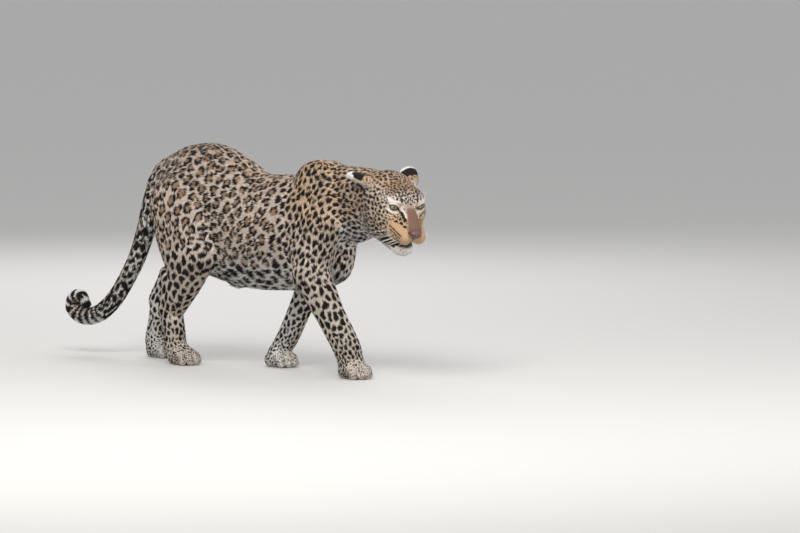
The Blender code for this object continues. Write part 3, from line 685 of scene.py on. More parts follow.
def body_paths():
    """A path down the middle of each part, in the order of PARTS."""
    paths = {"trunk": Path([(x, 0, (a + b) / 2, w, (a - b) / 2) for x, a, b, w in TRUNK[::-1]])}
    paths["neck"] = Path(NECK[::-1])
    paths["head"] = Path([
        (*on_head(0.095, 0, -0.055), 0.026, 0.026),
        (*on_head(0.050, 0, -0.055), 0.038, 0.040),
        (*on_head(0.000, 0, -0.045), 0.055, 0.055),
        (*on_head(-0.080, 0, -0.040), 0.085, 0.075),
        (*on_head(-0.120, 0, -0.035), 0.075, 0.070),
    ], HEAD[:, 1])
    paths["tail"] = Path(TAIL)
    for name, leg in FORE_LEGS.items():
        x, y, _ = leg["paw"]
        paths["fore_" + name] = Path([
            (*leg["blade"], 0.022, 0.050),
            (*leg["shoulder"], 0.041, 0.056),
            (*leg["elbow"], 0.043, 0.052),
            (*leg["wrist"], 0.035, 0.035),
            (*leg["knuckle"], 0.034, 0.032),
            (x + 0.03, y, 0.02, 0.036, 0.024),
        ])
    for name, leg in HIND_LEGS.items():
        x, y, _ = leg["paw"]
        paths["hind_" + name] = Path([
            (*leg["hip"], 0.046, 0.084),
            (*leg["stifle"], 0.046, 0.070),
            (*between(leg["stifle"], leg["hock"], 0.5, (-0.02, 0, 0)), 0.042, 0.052),
            (*leg["hock"], 0.033, 0.036),
            (*leg["knuckle"], 0.033, 0.033),
            (x + 0.03, y, 0.02, 0.036, 0.024),
        ])
    return paths


PATHS = body_paths()
PARTS = list(PATHS)
PART_SOFTNESS = 9 * MM


def part_shares(points):
    """How far each point belongs to each part, exp(-gap / softness) made to sum to one, and its place on
    each path from 0 to 1."""
    gaps, places = [], []
    for path in PATHS.values():
        gap, at = path.distance(points, 0.8)
        gaps.append(gap)
        places.append(at / (path.count - 1))
    gaps = np.array(gaps).T
    shares = np.exp(-(gaps - gaps.min(1, keepdims=True)) / PART_SOFTNESS)
    return shares / shares.sum(1, keepdims=True), np.array(places).T


def smoothed(values, triangles, rounds):
    """Each value moved to the mean of its neighbours' along the edges, over and over."""
    edges = np.concatenate([triangles[:, [0, 1]], triangles[:, [1, 2]], triangles[:, [2, 0]]])
    count = np.maximum(np.bincount(edges[:, 0], minlength=len(values)), 1)
    for _ in range(rounds):
        sums = [np.bincount(edges[:, 0], column[edges[:, 1]], len(values)) for column in values.T]
        values = (values + np.array(sums).T / count[:, None]) / 2
    return values


def along_skin(vectors, normals):
    """The part of each vector that lies along the skin, at length one."""
    return unit(vectors - normals * (vectors * normals).sum(1)[:, None])


def lie_of_coat(points, triangles, normals, shares, places):
    """The way the hair points: along each part's path, weighed by the shares."""
    total = np.zeros_like(points)
    for n, path in enumerate(PATHS.values()):
        i = np.round(places[:, n] * (path.count - 1)).astype(int)
        total += shares[:, [n]] * path.along[i]
    face = shares[:, [PARTS.index("head")]]
    total = mix(total, unit(points - NOSE_TIP), face)
    total[:, 2] -= 0.3 * shares[:, PARTS.index("trunk")]
    lie = smoothed(along_skin(total, normals), triangles, 12)
    return along_skin(lie, normals)


SKIN_SHARES, SKIN_PLACES = part_shares(SKIN_POINTS)
SKIN_LIE = lie_of_coat(SKIN_POINTS, SKIN_TRIANGLES, SKIN_NORMALS, SKIN_SHARES, SKIN_PLACES)
print({name: int((SKIN_SHARES.argmax(1) == n).sum()) for n, name in enumerate(PARTS)})


# %% [markdown]
# ## The markings
# A leopard's flank is packed with rosettes: broken black rings round a tan centre, with a thin pale net
# between them. Its legs, neck and head have plain spots, and its belly has blotches. Seeds are strewn over
# the skin as far apart as the markings are there. Each place belongs to its nearest seed, and how far it
# lies from the border with the next seed tells whether it is net, ring or centre.
# %% Seeds of the markings
RANDOM = np.random.default_rng(7)
NORMAL_WEIGHT = 0.035
TURNS = 2 * math.pi
OUT_OF_REACH = 9.0


def srgb(red, green, blue):
    """A colour given from 0 to 255 as a picture shows it, as the light that a shader works with."""
    value = np.array([red, green, blue]) / 255
    return np.where(value <= 0.04045, value / 12.92, ((value + 0.055) / 1.055) ** 2.4)


def ripple(points, wavelength, seed):
    """The sum of six sine waves in random directions, mostly between -1 and 1."""
    dice = np.random.default_rng(seed)
    directions = unit(dice.normal(size=(6, 3))) * TURNS / wavelength
    lengths = dice.uniform(0.7, 1.4, 6)
    return np.sin((points @ directions.T) * lengths + dice.uniform(0, TURNS, 6)).sum(1) / 3


def part_share(shares, *names):
    return sum(shares[:, PARTS.index(name)] for name in names)


LEGS = tuple(name for name in PARTS if "fore" in name or "hind" in name)
HINDS = ("hind_right", "hind_left")
FORES = ("fore_right", "fore_left")


def marking_plan(points, normals, shares, places, lie):
    """For each point: the spacing of its markings, whether they are rosettes, and the way they are long."""
    x, z = points[:, 0], points[:, 2]
    above = head_place(points)[:, 2]
    belly = smooth_step(-normals[:, 2], 0.25, 0.7)
    ridge = smooth_step(normals[:, 2], 0.80, 0.97)
    trunk_spacing = mix(mix(0.034, 0.023, smooth_step(x, 0.09, 0.17)), 0.035, belly)
    trunk_spacing = mix(trunk_spacing, 0.025, ridge)
    limb = mix(0.0135, mix(0.030, 0.034, smooth_step(z, 0.26, 0.36)), smooth_step(z, 0.02, 0.22))
    fore = mix(limb, 0.0225, smooth_step(z, 0.20, 0.32))
    head_spacing = mix(0.0145, 0.0112, smooth_step(above, -0.02, 0.035))
    tail = np.full(len(points), 0.031)
    spacing = (
        part_share(shares, "trunk") * trunk_spacing
        + part_share(shares, "neck") * 0.0205
        + part_share(shares, "head") * head_spacing
        + part_share(shares, "tail") * tail
        + part_share(shares, *HINDS) * limb
        + part_share(shares, *FORES) * fore
    )
    rosettes = part_share(shares, "trunk") * (1 - smooth_step(x, 0.08, 0.16)) * (1 - belly)
    rosettes = rosettes + part_share(shares, *HINDS) * smooth_step(z, 0.29, 0.37)
    tail_place = places[:, PARTS.index("tail")]
    rosettes = rosettes + part_share(shares, "tail") * 0.35 * (1 - smooth_step(tail_place, 0.3, 0.5))
    tilted = np.array([0.36, 0, 0.93])
    flat = np.array([1.0, 0, 0.0])
    shown = np.where((ridge + belly > 0.5)[:, None], flat, tilted)
    fixed = part_share(shares, "trunk", *HINDS, *FORES)[:, None] * smooth_step(z, 0.20, 0.32)[:, None]
    axis = mix(lie, shown, fixed)
    return spacing, rosettes, along_skin(axis, normals)


def strewn(points, normals, spacing, tries):
    """Seeds taken in random order, each kept if no kept seed is nearer than its spacing."""
    order = RANDOM.permutation(len(points))[:tries]
    places = np.hstack([points, normals * NORMAL_WEIGHT])[order]
    kept = np.full((tries, 6), OUT_OF_REACH)
    chosen = []
    for n, place in zip(order, places):
        count = len(chosen)
        gaps = ((kept[:count] - place) ** 2).sum(1)
        if count == 0 or gaps.min() > spacing[n] ** 2:
            kept[count] = place
            chosen.append(n)
    return np.array(chosen)


plan = marking_plan(SKIN_POINTS, SKIN_NORMALS, SKIN_SHARES, SKIN_PLACES, SKIN_LIE)
SEED_SHARE = 0.78
chosen = strewn(SKIN_POINTS, SKIN_NORMALS, plan[0] * SEED_SHARE, len(SKIN_POINTS))


def evened(chosen, rounds=2):
    """Each seed moved to the middle of the skin that is nearest to it, which packs the markings evenly."""
    places = np.hstack([SKIN_POINTS, SKIN_NORMALS * NORMAL_WEIGHT]).astype(np.float32)
    for _ in range(rounds):
        seeds = places[chosen]
        lengths = (seeds**2).sum(1)
        handfuls = np.array_split(places, len(places) // SEED_HANDFUL)
        own = np.concatenate([(lengths - 2 * few @ seeds.T).argmin(1) for few in handfuls])
        count = np.maximum(np.bincount(own, minlength=len(chosen)), 1)
        middles = np.array([np.bincount(own, column, len(chosen)) for column in places.T]).T / count[:, None]
        gaps = ((places - middles[own]) ** 2).sum(1)
        order = np.lexsort((gaps, own))
        _, first = np.unique(own[order], return_index=True)
        chosen = order[first]
    return chosen


chosen = evened(chosen)
SEEDS = {
    "place": SKIN_POINTS[chosen],
    "normal": SKIN_NORMALS[chosen],
    "half": plan[0][chosen] / 2,
    "rosette": RANDOM.uniform(size=len(chosen)) < plan[1][chosen],
    "axis": plan[2][chosen],
    "lobes": RANDOM.integers(3, 6, len(chosen)),
    "phase": RANDOM.uniform(0, TURNS, (len(chosen), 3)),
    "luck": RANDOM.uniform(-1, 1, len(chosen)),
    "on_tail": SKIN_SHARES[chosen, PARTS.index("tail")] > 0.5,
}
print("markings:", len(chosen), "of which rosettes:", int(SEEDS["rosette"].sum()))

# %% [markdown]
# ## Reading the markings
# The same functions colour the skin and each tuft, so the two can't disagree. Edges are roughened by slow
# and quick ripples, as hair does.
# %% Black, centre and net of the markings
ASPECT = 1.32
NEAREST = 5
RING_START, RING_WIDTH = 0.12, 0.50
SPOT_START, TAIL_SPOT_START = 0.24, 0.10
LARGEST = 1.15


def nearest_seeds(points, normals):
    """The numbers of the nearest seeds of each point, with the way the skin faces counted in."""
    places = np.hstack([points, normals * NORMAL_WEIGHT]).astype(np.float32)
    seeds = np.hstack([SEEDS["place"], SEEDS["normal"] * NORMAL_WEIGHT]).astype(np.float32)
    lengths = (seeds**2).sum(1)
    found = []
    for few in np.array_split(places, len(places) // SEED_HANDFUL + 1):
        gaps = lengths - 2 * few @ seeds.T
        found.append(np.argpartition(gaps, NEAREST, axis=1)[:, :NEAREST].astype(np.int32))
    return np.concatenate(found)


def markings(points, near):
    """How black each point is and how much it is the tan centre of a rosette, each from 0 to 1."""
    moved = points + 1.1 * MM * np.column_stack([ripple(points, 17 * MM, n) for n in range(3)])
    offset = moved[:, None] - SEEDS["place"][near]
    axis, normal = SEEDS["axis"][near], SEEDS["normal"][near]
    along = (offset * axis).sum(2)
    across = (offset * np.cross(normal, axis)).sum(2)
    squeeze = math.sqrt(ASPECT)
    gaps = np.hypot(along / squeeze, across * squeeze)
    order = np.argsort(gaps, axis=1)
    rows = np.arange(len(points))
    first, second = order[:, 0], order[:, 1]
    seed = near[rows, first]
    half = SEEDS["half"][seed]
    inward = (gaps[rows, second] - gaps[rows, first]) / 2 / half
    inward = np.minimum(inward, LARGEST - gaps[rows, first] / half)
    turn = np.arctan2(across[rows, first], along[rows, first])
    phase, luck = SEEDS["phase"][seed], SEEDS["luck"][seed]
    rough = 0.05 * ripple(points, 9 * MM, 11) + 0.04 * ripple(points, 4 * MM, 12)
    inward = inward + rough
    lobes = 0.95 + 0.42 * np.cos(SEEDS["lobes"][seed] * turn + phase[:, 0])
    width = RING_WIDTH * np.clip(lobes, 0, 1.2)
    gap = (np.cos(turn - phase[:, 1]) > 0.90) | ((np.cos(turn - phase[:, 2]) > 0.93) & (luck > 0))
    width = np.where(gap, 0, width)
    middle = RING_START + RING_WIDTH / 2
    ring = np.abs(inward - middle) < width / 2
    centre = inward > RING_START + RING_WIDTH * 0.5
    wobble = 0.10 * np.cos(2 * turn + phase[:, 1]) + 0.07 * np.cos(3 * turn + phase[:, 2]) + 0.10 * luck
    start = np.where(SEEDS["on_tail"][seed], TAIL_SPOT_START, SPOT_START)
    spot = inward > start + wobble
    rosette = SEEDS["rosette"][seed]
    black = np.where(rosette, ring, spot)
    return black.astype(float), (rosette & centre & ~ring).astype(float)


# %% [markdown]
# ## The colours of the coat
# The ground is cream on the flanks, golden on neck, shoulders and crown, darker along the back, and white on
# the belly, the chin and the insides of the legs.
# %% Ground colours of the body
BLACK = srgb(24, 17, 17)
CREAM, GREY_TAN = srgb(216, 200, 186), srgb(184, 162, 142)
GOLD, WHITE = srgb(200, 164, 122), srgb(232, 229, 224)
CENTRE, CENTRE_PALE = srgb(166, 138, 112), srgb(190, 170, 150)
LEG_PALE, CROWN = srgb(214, 202, 188), srgb(186, 148, 108)


def toward(colours, colour, share):
    return mix(colours, colour, np.asarray(share)[:, None])


def ground(points, normals, shares):
    """The colour of the coat between the markings."""
    x, y, z = points.T
    colours = np.tile(CREAM, (len(points), 1))
    trunk_share = part_share(shares, "trunk", "neck", *LEGS)
    colours = toward(colours, GREY_TAN, 0.75 * smooth_step(normals[:, 2], 0.30, 0.95) * trunk_share)
    gold = part_share(shares, "neck") + part_share(shares, *FORES) * smooth_step(z, 0.30, 0.42)
    gold = gold + part_share(shares, "trunk") * smooth_step(x, 0.10, 0.22)
    gold = np.clip(gold, 0, 1) * smooth_step(z, 0.33, 0.50) * (0.80 + 0.2 * ripple(points, 0.09, 5))
    colours = toward(colours, GOLD, np.clip(gold, 0, 1) * 0.7)
    legs = part_share(shares, *LEGS)
    colours = toward(colours, LEG_PALE, legs * (1 - smooth_step(z, 0.16, 0.34)))
    inner = smooth_step(-normals[:, 1] * np.sign(y), 0.1, 0.6) * legs * (1 - smooth_step(z, 0.30, 0.42))
    colours = toward(colours, WHITE, 0.8 * inner)
    under = smooth_step(-normals[:, 2], 0.15, 0.65) * part_share(shares, "trunk", "neck")
    low = 1 - smooth_step(z, 0.25, 0.31)
    colours = toward(colours, WHITE, np.clip(under + low * part_share(shares, "trunk"), 0, 1))
    return colours


TAIL_LINE = PATHS["tail"].line
TAIL_RUN = np.append(0, np.cumsum(np.linalg.norm(np.diff(TAIL_LINE, axis=0), axis=1)))
RING_SPACING, RINGED = 23 * MM, 0.21


def tail_run(places):
    """How far along the tail each point lies, in metres from its root."""
    return np.interp(places[:, PARTS.index("tail")], np.linspace(0, 1, len(TAIL_RUN)), TAIL_RUN)


def tail_turn(points, places):
    """How far a point of the tail lies on its under side, from -1 to 1."""
    path = PATHS["tail"]
    i = np.round(places[:, PARTS.index("tail")] * (path.count - 1)).astype(int)
    out = unit(points - path.line[i])
    return (out * path.front[i]).sum(1)


def coat_colours(points, normals, shares, places, near):
    """The colour of each place of the coat, with its markings."""
    colours = ground(points, normals, shares)
    black, centre = markings(points, near)
    pale = toward(np.tile(CENTRE, (len(points), 1)), CENTRE_PALE, 1 - smooth_step(points[:, 2], 0.30, 0.45))
    colours = mix(colours, pale, centre[:, None])
    tail = part_share(shares, "tail")
    under = tail_turn(points, places)
    run = tail_run(places)
    tail_ground = toward(np.tile(CREAM, (len(points), 1)), WHITE, smooth_step(under, -0.5, 0.3))
    tail_ground = toward(tail_ground, CENTRE, centre * (under < 0.0))
    colours = mix(colours, tail_ground, tail[:, None])
    ringed = (run > TAIL_RUN[-1] - RINGED) & (tail > 0.5)
    open_under = 0.55 * smooth_step(under, 0.3, 0.9)
    bands = np.sin(TURNS * run / RING_SPACING + 0.7 * ripple(points, 0.05, 21)) > open_under * 2 - 0.62
    black = np.where(ringed, bands, black)
    colours, black = paint_face(points, shares, colours, black)
    colours, black = paint_ears(points, normals, colours, black)
    return mix(colours, BLACK, black[:, None])


# %% [markdown]
# ## The face
# The face has its own plan: black tear marks from the inner corners of the eyes, white above and below the
# eyes, a plain brown bridge of the nose, rows of dark dashes on the whisker pads, black lips and a white
# chin.
# %% Paint the face
BRIDGE, MUZZLE, CHEEK = srgb(128, 98, 82), srgb(198, 166, 130), srgb(212, 192, 168)
THROAT, DARK_BROWN = srgb(206, 192, 182), srgb(70, 46, 34)
LIP_PALE = srgb(214, 190, 178)
WHISKER_ROWS, WHISKER_ROW_GAP = 4, 0.0078
MOUTH_PATH = Path([(*on_head(*row[:3]), *row[3:]) for row in MOUTH], HEAD[:, 1])


def band(value, middle, half, soft):
    """One within half of the middle, falling to zero over the soft width."""
    return 1 - smooth_step(np.abs(value - middle), half, half + soft)


def stroke(even, start, end, width, soft=1.2 * MM):
    """One near the line between two places of the face, seen from ahead as side and height, for both sides
    alike. The half width is given at its start and its end."""
    start, end = np.array(start), np.array(end)
    line = end - start
    points = even[:, 1:]
    t = np.clip((points - start) @ line / (line @ line), 0, 1)
    gap = np.linalg.norm(points - start - t[:, None] * line, axis=1)
    half = mix(width[0], width[1], t)
    return (1 - smooth_step(gap, half - soft / 2, half + soft / 2)) * smooth_step(even[:, 0], -0.045, -0.035)


def paint_face(points, shares, colours, black):
    """The face's own colours over the ground, and its black marks."""
    ahead, left, above = head_place(points).T
    side = np.abs(left)
    even = np.column_stack([ahead, side, above])
    even = even + 0.7 * MM * np.column_stack([ripple(points, 12 * MM, n) for n in (41, 42, 43)])
    face = part_share(shares, "head") * smooth_step(ahead, -0.16, -0.11)
    crown = face * smooth_step(above, 0.010, 0.035) * (1 - smooth_step(ahead, -0.03, 0.0))
    colours = toward(colours, CHEEK, face * (1 - smooth_step(above, -0.02, 0.02)))
    colours = toward(colours, CROWN, 0.85 * crown)
    throat = face * (1 - smooth_step(above, -0.105, -0.075)) * (1 - smooth_step(ahead, -0.04, 0.0))
    colours = toward(colours, THROAT, 0.8 * throat)
    front = face * smooth_step(ahead, 0.0, 0.02)
    colours = toward(colours, MUZZLE, front * (1 - smooth_step(above, -0.02, 0.0)))
    half = 0.007 + 0.13 * np.clip(ahead, 0, 0.075)
    bridge = face * (1 - smooth_step(side, half, half + 0.007)) * smooth_step(ahead, 0.004, 0.030)
    bridge = bridge * smooth_step(above + 0.45 * ahead, -0.022, -0.010)
    colours = toward(colours, BRIDGE, bridge)
    eye = np.array([EYE_DEPTH + 0.008, EYE_HALF_SPACING, 0])
    above_eye = stroke(even, (0.030, 0.0160), (0.052, 0.0165), (3.6 * MM, 4.2 * MM), 3 * MM)
    below_eye = stroke(even, (0.033, -0.0145), (0.054, -0.0105), (2.8 * MM, 2.8 * MM), 2 * MM)
    inside_eye = stroke(even, (0.0205, 0.002), (0.0185, -0.012), (1.7 * MM, 1.2 * MM), 2.4 * MM)
    white = np.clip(above_eye + below_eye + inside_eye, 0, 1) * face
    colours = toward(colours, WHITE, white)
    chin = face * smooth_step(ahead, 0.004, 0.016) * (1 - smooth_step(above, -0.110, -0.102))
    colours = toward(colours, WHITE, chin)
    lip_pale = face * band(above, -0.083, 0.007, 0.004) * smooth_step(ahead, 0.030, 0.055)
    colours = toward(colours, LIP_PALE, lip_pale)
    plain = np.clip(bridge + white + chin + front * (above < -0.035), 0, 1)
    near_eye = 1 - smooth_step(np.linalg.norm(even - eye, axis=1), 0.019, 0.023)
    black = black * (1 - smooth_step(np.clip(plain + near_eye * face, 0, 1), 0.3, 0.6))
    marks = [
        stroke(even, (0.0290, -0.003), (0.0205, -0.0160), (3.4 * MM, 1.6 * MM)),
        stroke(even, (0.0520, 0.0045), (0.0620, 0.0065), (1.7 * MM, 0.6 * MM)),
        stroke(even, (0.0540, -0.0170), (0.0340, -0.0225), (1.1 * MM, 0.8 * MM)),
        stroke(even, (0.0235, 0.0190), (0.0290, 0.0400), (2.8 * MM, 1.4 * MM)),
        stroke(even, (0.0345, 0.0215), (0.0385, 0.0380), (1.7 * MM, 1.1 * MM)),
        stroke(even, (0.0110, 0.0260), (0.0230, 0.0470), (1.3 * MM, 1.0 * MM)),
        stroke(even, (0.0035, 0.0220), (0.0060, 0.0450), (1.1 * MM, 0.9 * MM)),
    ]
    tilt = 0.10
    for row in range(WHISKER_ROWS):
        height = -0.052 - WHISKER_ROW_GAP * row
        line = band(even[:, 2] + tilt * (even[:, 0] - 0.045), height, 1.5 * MM, 1.0 * MM)
        dashes = smooth_step(np.sin(TURNS * even[:, 0] / 0.016 + 2.1 * row), -1.0, -0.85)
        opening, full = 0.012 + 0.006 * row, 0.020 + 0.006 * row
        span = smooth_step(even[:, 0], opening, full) * (1 - smooth_step(even[:, 0], 0.066, 0.072))
        marks.append(line * span * dashes * (side > 0.016))
    gap, _ = MOUTH_PATH.distance(points, 0.3)
    rear = 1 - smooth_step(ahead, 0.030, 0.050)
    lips = 1 - smooth_step(gap, mix(1.2 * MM, 4.5 * MM, rear), mix(2.6 * MM, 6.5 * MM, rear))
    marks.append(lips * (ahead < 0.075))
    corner_height = -0.110 + 0.15 * np.clip(ahead, -0.02, 0.04)
    corner = band(above, corner_height, 0.0075, 0.004) * band(ahead, 0.0, 0.024, 0.010)
    marks.append(corner * smooth_step(side, 0.006, 0.012))
    marks.append(stroke(even, (0.0, -0.056), (0.0, -0.082), (1.5 * MM, 1.3 * MM)) * (ahead > 0.05))
    marks.append(stroke(even, (0.0180, -0.0400), (0.0030, -0.0590), (1.5 * MM, 2.2 * MM)) * (ahead > 0.06))
    for mark in marks:
        black = np.maximum(black, mark * (face > 0.3))
    specks = (ripple(points, 7 * MM, 51) > 0.95) & (chin > 0.5)
    vermicular = (ripple(points, 8 * MM, 52) > 0.55) & (crown > 0.4) & (ahead > -0.07) & (side < 0.035)
    colours = toward(colours, DARK_BROWN, 0.75 * vermicular * (1 - black))
    return colours, np.maximum(black, 0.8 * specks)


# %% [markdown]
# ## The ears
# The back of a leopard's ear is black with a white tip, which its young follow. The inside is pale grey.
# %% Paint the ears
EAR_INSIDE, EAR_BACK = srgb(200, 186, 170), srgb(206, 170, 128)


def ear_places(points, places):
    """Along an ear from root to tip, across it and out of its cup, in metres."""
    root, tip, cup = places
    return (points - on_head(*root)) @ ear_axes(tip, cup)


def on_ear(points, places):
    along, across, out = ear_places(points, places).T
    near = np.maximum(np.abs(across) / 0.036, np.abs(out) / 0.022)
    return smooth_step(along, 0.008, 0.018) * (1 - smooth_step(near, 0.9, 1.1)) * (along < 0.085)


def paint_ears(points, normals, colours, black):
    for places in EARS.values():
        along = ear_places(points, places)[:, 0]
        here = on_ear(points, places)
        facing = normals @ ear_axes(*places[1:])[:, 2]
        back = here * (1 - smooth_step(facing, -0.15, 0.15))
        inside = here * smooth_step(facing, -0.15, 0.15)
        colours = toward(colours, EAR_INSIDE, inside)
        colours = toward(colours, EAR_BACK, back)
        tip = smooth_step(along + 0.006 * ripple(points, 0.03, 61), 0.050, 0.058)
        colours = toward(colours, WHITE, here * tip)
        patch = back * smooth_step(along, 0.020, 0.028) * (1 - tip)
        black = np.clip(black * (1 - inside) * (1 - here * tip), 0, 1)
        black = np.maximum(black, smooth_step(patch, 0.4, 0.6))
    return colours, black


SKIN_SEEDS = nearest_seeds(SKIN_POINTS, SKIN_NORMALS)
SKIN_COLOURS = coat_colours(SKIN_POINTS, SKIN_NORMALS, SKIN_SHARES, SKIN_PLACES, SKIN_SEEDS)
print("mean colour of the skin", np.round(SKIN_COLOURS.mean(0), 3))


# %% [markdown]
# ## The coat
# Each tuft is a thin closed wedge: two roots sunk in the skin, a ridge, and a tip further along the lie of
# the coat. Tufts overlap like tiles. They are long on the belly and the tail, and smallest on the face.
# %% The plan of the coat
def coat_plan(points, normals, shares):
    """The length of the tufts, the gap between them and how steeply they stand, for each point."""
    z = points[:, 2]
    ahead, left, above = head_place(points).T
    legs, face = part_share(shares, *LEGS), part_share(shares, "head")
    under = smooth_step(-normals[:, 2], 0.3, 0.8)
    length = mix(12.5 * MM, 7.5 * MM, legs * (1 - smooth_step(z, 0.14, 0.34)))
    length = mix(length, 5.0 * MM, legs * (1 - smooth_step(z, 0.03, 0.10)))
    length = mix(length, 18 * MM, under * part_share(shares, "trunk"))
    length = mix(length, 15 * MM, under * part_share(shares, "neck"))
    length = mix(length, 13 * MM, part_share(shares, "tail"))
    on_face = mix(11 * MM, 5.5 * MM, smooth_step(ahead, -0.12, -0.07))
    on_face = mix(on_face, 3.6 * MM, smooth_step(ahead, -0.03, 0.02))
    cheek = smooth_step(np.abs(left), 0.045, 0.065) * (1 - smooth_step(above, -0.03, 0.0))
    on_face = mix(on_face, 11 * MM, cheek * (1 - smooth_step(ahead, -0.06, -0.03)))
    length = mix(length, on_face, face)
    for places in EARS.values():
        length = mix(length, 4.5 * MM, on_ear(points, places))
    gap = np.clip(0.185 * length, 1.35 * MM, 2.3 * MM)
    gap = mix(gap, 1.5 * MM, face * smooth_step(ahead, -0.14, -0.10))
    lift = mix(0.17, 0.30, under * part_share(shares, "trunk")) + 0.06 * cheek * face
    return np.column_stack([length, gap, lift])


def bare(points, normals):
    """Where no hair grows: soles, the inside of the mouth, the eyes and the nose leather."""
    soles = (points[:, 2] < 6 * MM) & (normals[:, 2] < -0.5)
    gap, _ = MOUTH_PATH.distance(points, 0.3)
    lips = (gap < 1.8 * MM) & (head_place(points)[:, 0] > -0.02)
    found = soles | lips
    for side in SIDES.values():
        found |= np.linalg.norm(points - eye_centre(side), axis=1) < EYEBALL_RADIUS + 2.6 * MM
    leather = (head_place(points) - (0.0835, 0, -0.0445)) / (0.0130, 0.0165, 0.0125)
    return found | (np.linalg.norm(leather, axis=1) < 1.05)


PLAN = coat_plan(SKIN_POINTS, SKIN_NORMALS, SKIN_SHARES)


def sown(points, triangles, gaps, keep):
    """Roots spread evenly by area: the running sum of area / gap^2 is cut into equal steps, and each step
    falls in one triangle."""
    a, b, c = (points[triangles[:, n]] for n in range(3))
    area = np.linalg.norm(np.cross(b - a, c - a), axis=1) / 2
    wanted = area * keep / gaps[triangles].mean(1) ** 2
    running = np.cumsum(wanted)
    steps = np.arange(int(running[-1])) + RANDOM.uniform(size=int(running[-1]))
    found = np.searchsorted(running, np.minimum(steps, running[-1] * (1 - 1e-9)))
    u, v = np.sqrt(RANDOM.uniform(size=len(found))), RANDOM.uniform(size=len(found))
    return found, np.column_stack([1 - u, u * (1 - v), u * v])


def grown_roots():
    """The roots of all tufts: each has a triangle of the skin and its weights in it."""
    keep = 1 - bare(SKIN_POINTS, SKIN_NORMALS)[SKIN_TRIANGLES].max(1).astype(float)
    return sown(SKIN_POINTS, SKIN_TRIANGLES, PLAN[:, 1], keep)


ROOT_TRIANGLE, ROOT_WEIGHTS = grown_roots()
print("tufts:", len(ROOT_TRIANGLE))

# %% [markdown]
# ## Growing the tufts
# What the plan says at the corners of a triangle is mixed at the root. Each tuft is turned, stretched and
# lifted a little at random. It takes the colour of the place halfway along it.
# %% Tufts as wedges
TIP_BROWN = srgb(58, 38, 28)
SINK = 0.6 * MM
RIDGE_AT = 0.42
TUFT_SHADES = np.array([0.80, 0.80, 1.0, 1.10])


def at_roots(table):
    corners = table[SKIN_TRIANGLES[ROOT_TRIANGLE]]
    return (corners * ROOT_WEIGHTS[:, :, None]).sum(1)


def tuft_points(roots, normals, lie, plan, dice):
    """Four points of each tuft: left root, right root, ridge and tip."""
    count = len(roots)
    turn = dice.normal(0, math.radians(11), count)[:, None]
    side = np.cross(normals, lie)
    way = unit(lie * np.cos(turn) + side * np.sin(turn))
    side = np.cross(normals, way)
    length = (plan[:, 0] * dice.uniform(0.75, 1.2, count))[:, None]
    lift = (plan[:, 2] * dice.uniform(0.6, 1.35, count))[:, None]
    width = np.clip(1.15 * plan[:, [1]], 1.3 * MM, 2.6 * MM)
    sunk = roots - normals * SINK
    along = way * np.cos(lift) + normals * np.sin(lift)
    ridge = roots + along * length * RIDGE_AT + normals * 0.25 * width
    tip = roots + way * length * np.cos(lift) + normals * length * np.sin(lift) * 0.72
    half = side * width / 2
    return np.stack([sunk + half, sunk - half, ridge, tip], 1)


TUFT_FACES = np.array([(0, 1, 2), (0, 2, 3), (2, 1, 3), (1, 0, 3)])


def coat_tables():
    """Points and colours of every tuft, and for each its part of the body and its place for the unwrap."""
    dice = np.random.default_rng(21)
    roots, normals = at_roots(SKIN_POINTS), unit(at_roots(SKIN_NORMALS))
    lie = along_skin(at_roots(SKIN_LIE), normals)
    plan = at_roots(PLAN)
    points = tuft_points(roots, normals, lie, plan, dice)
    points[:, :, 2] = np.maximum(points[:, :, 2], 0.5 * MM)
    shares, places = at_roots(SKIN_SHARES), at_roots(SKIN_PLACES)
    near = SKIN_SEEDS[SKIN_TRIANGLES[ROOT_TRIANGLE, 0]]
    colours = coat_colours(roots + lie * plan[:, [0]] * 0.5, normals, shares, places, near)
    light = dice.normal(1, 0.07, (len(roots), 1)).clip(0.8, 1.2)
    colours = (colours * light)[:, None] * TUFT_SHADES[:, None]
    dark = (colours[:, 0].max(1) < 0.03)[:, None]
    colours[:, 3] = np.where(dark, mix(colours[:, 3], TIP_BROWN, 0.35), colours[:, 3])
    return points, np.clip(colours, 0, 1), shares.argmax(1), places, roots


TUFT_POINTS, TUFT_COLOURS, TUFT_PART, TUFT_PLACES, TUFT_ROOTS = coat_tables()

# %% [markdown]
# ## Materials
# Every material is procedural. The coat's colour comes with its points. The eye's iris, pupil and rim are
# rings of one pattern, and the nose leather is a fine net of bumps.
# %% Materials
def material(name, roughness, **sockets):
    """A Principled material, and its nodes."""
    made = bpy.data.materials.new(name)
    made.use_nodes = True
    nodes, shader = made.node_tree.nodes, made.node_tree.nodes["Principled BSDF"]
    shader.inputs["Roughness"].default_value = roughness
    for socket, value in sockets.items():
        shader.inputs[socket.replace("_", " ")].default_value = value
    return made, nodes, shader


def link(made, *pairs):
    for source, target in pairs:
        made.node_tree.links.new(source, target)


def noise_bump(made, nodes, shader, scale, strength, distance):
    """Small bumps of noise in the object's own space."""
    kinds = ("ShaderNodeTexCoord", "ShaderNodeTexNoise", "ShaderNodeBump")
    place, noise, bump = (nodes.new(kind) for kind in kinds)
    noise.inputs["Scale"].default_value = scale
    bump.inputs["Strength"].default_value = strength
    bump.inputs["Distance"].default_value = distance
    link(
        made,
        (place.outputs["Object"], noise.inputs["Vector"]),
        (noise.outputs["Fac"], bump.inputs["Height"]),
        (bump.outputs["Normal"], shader.inputs["Normal"]),
    )
    return noise


def colour_socket(sockets, name):
    """The socket of a Mix node that has this name and holds a colour."""
    return next(s for s in sockets if s.name == name and s.type == "RGBA")


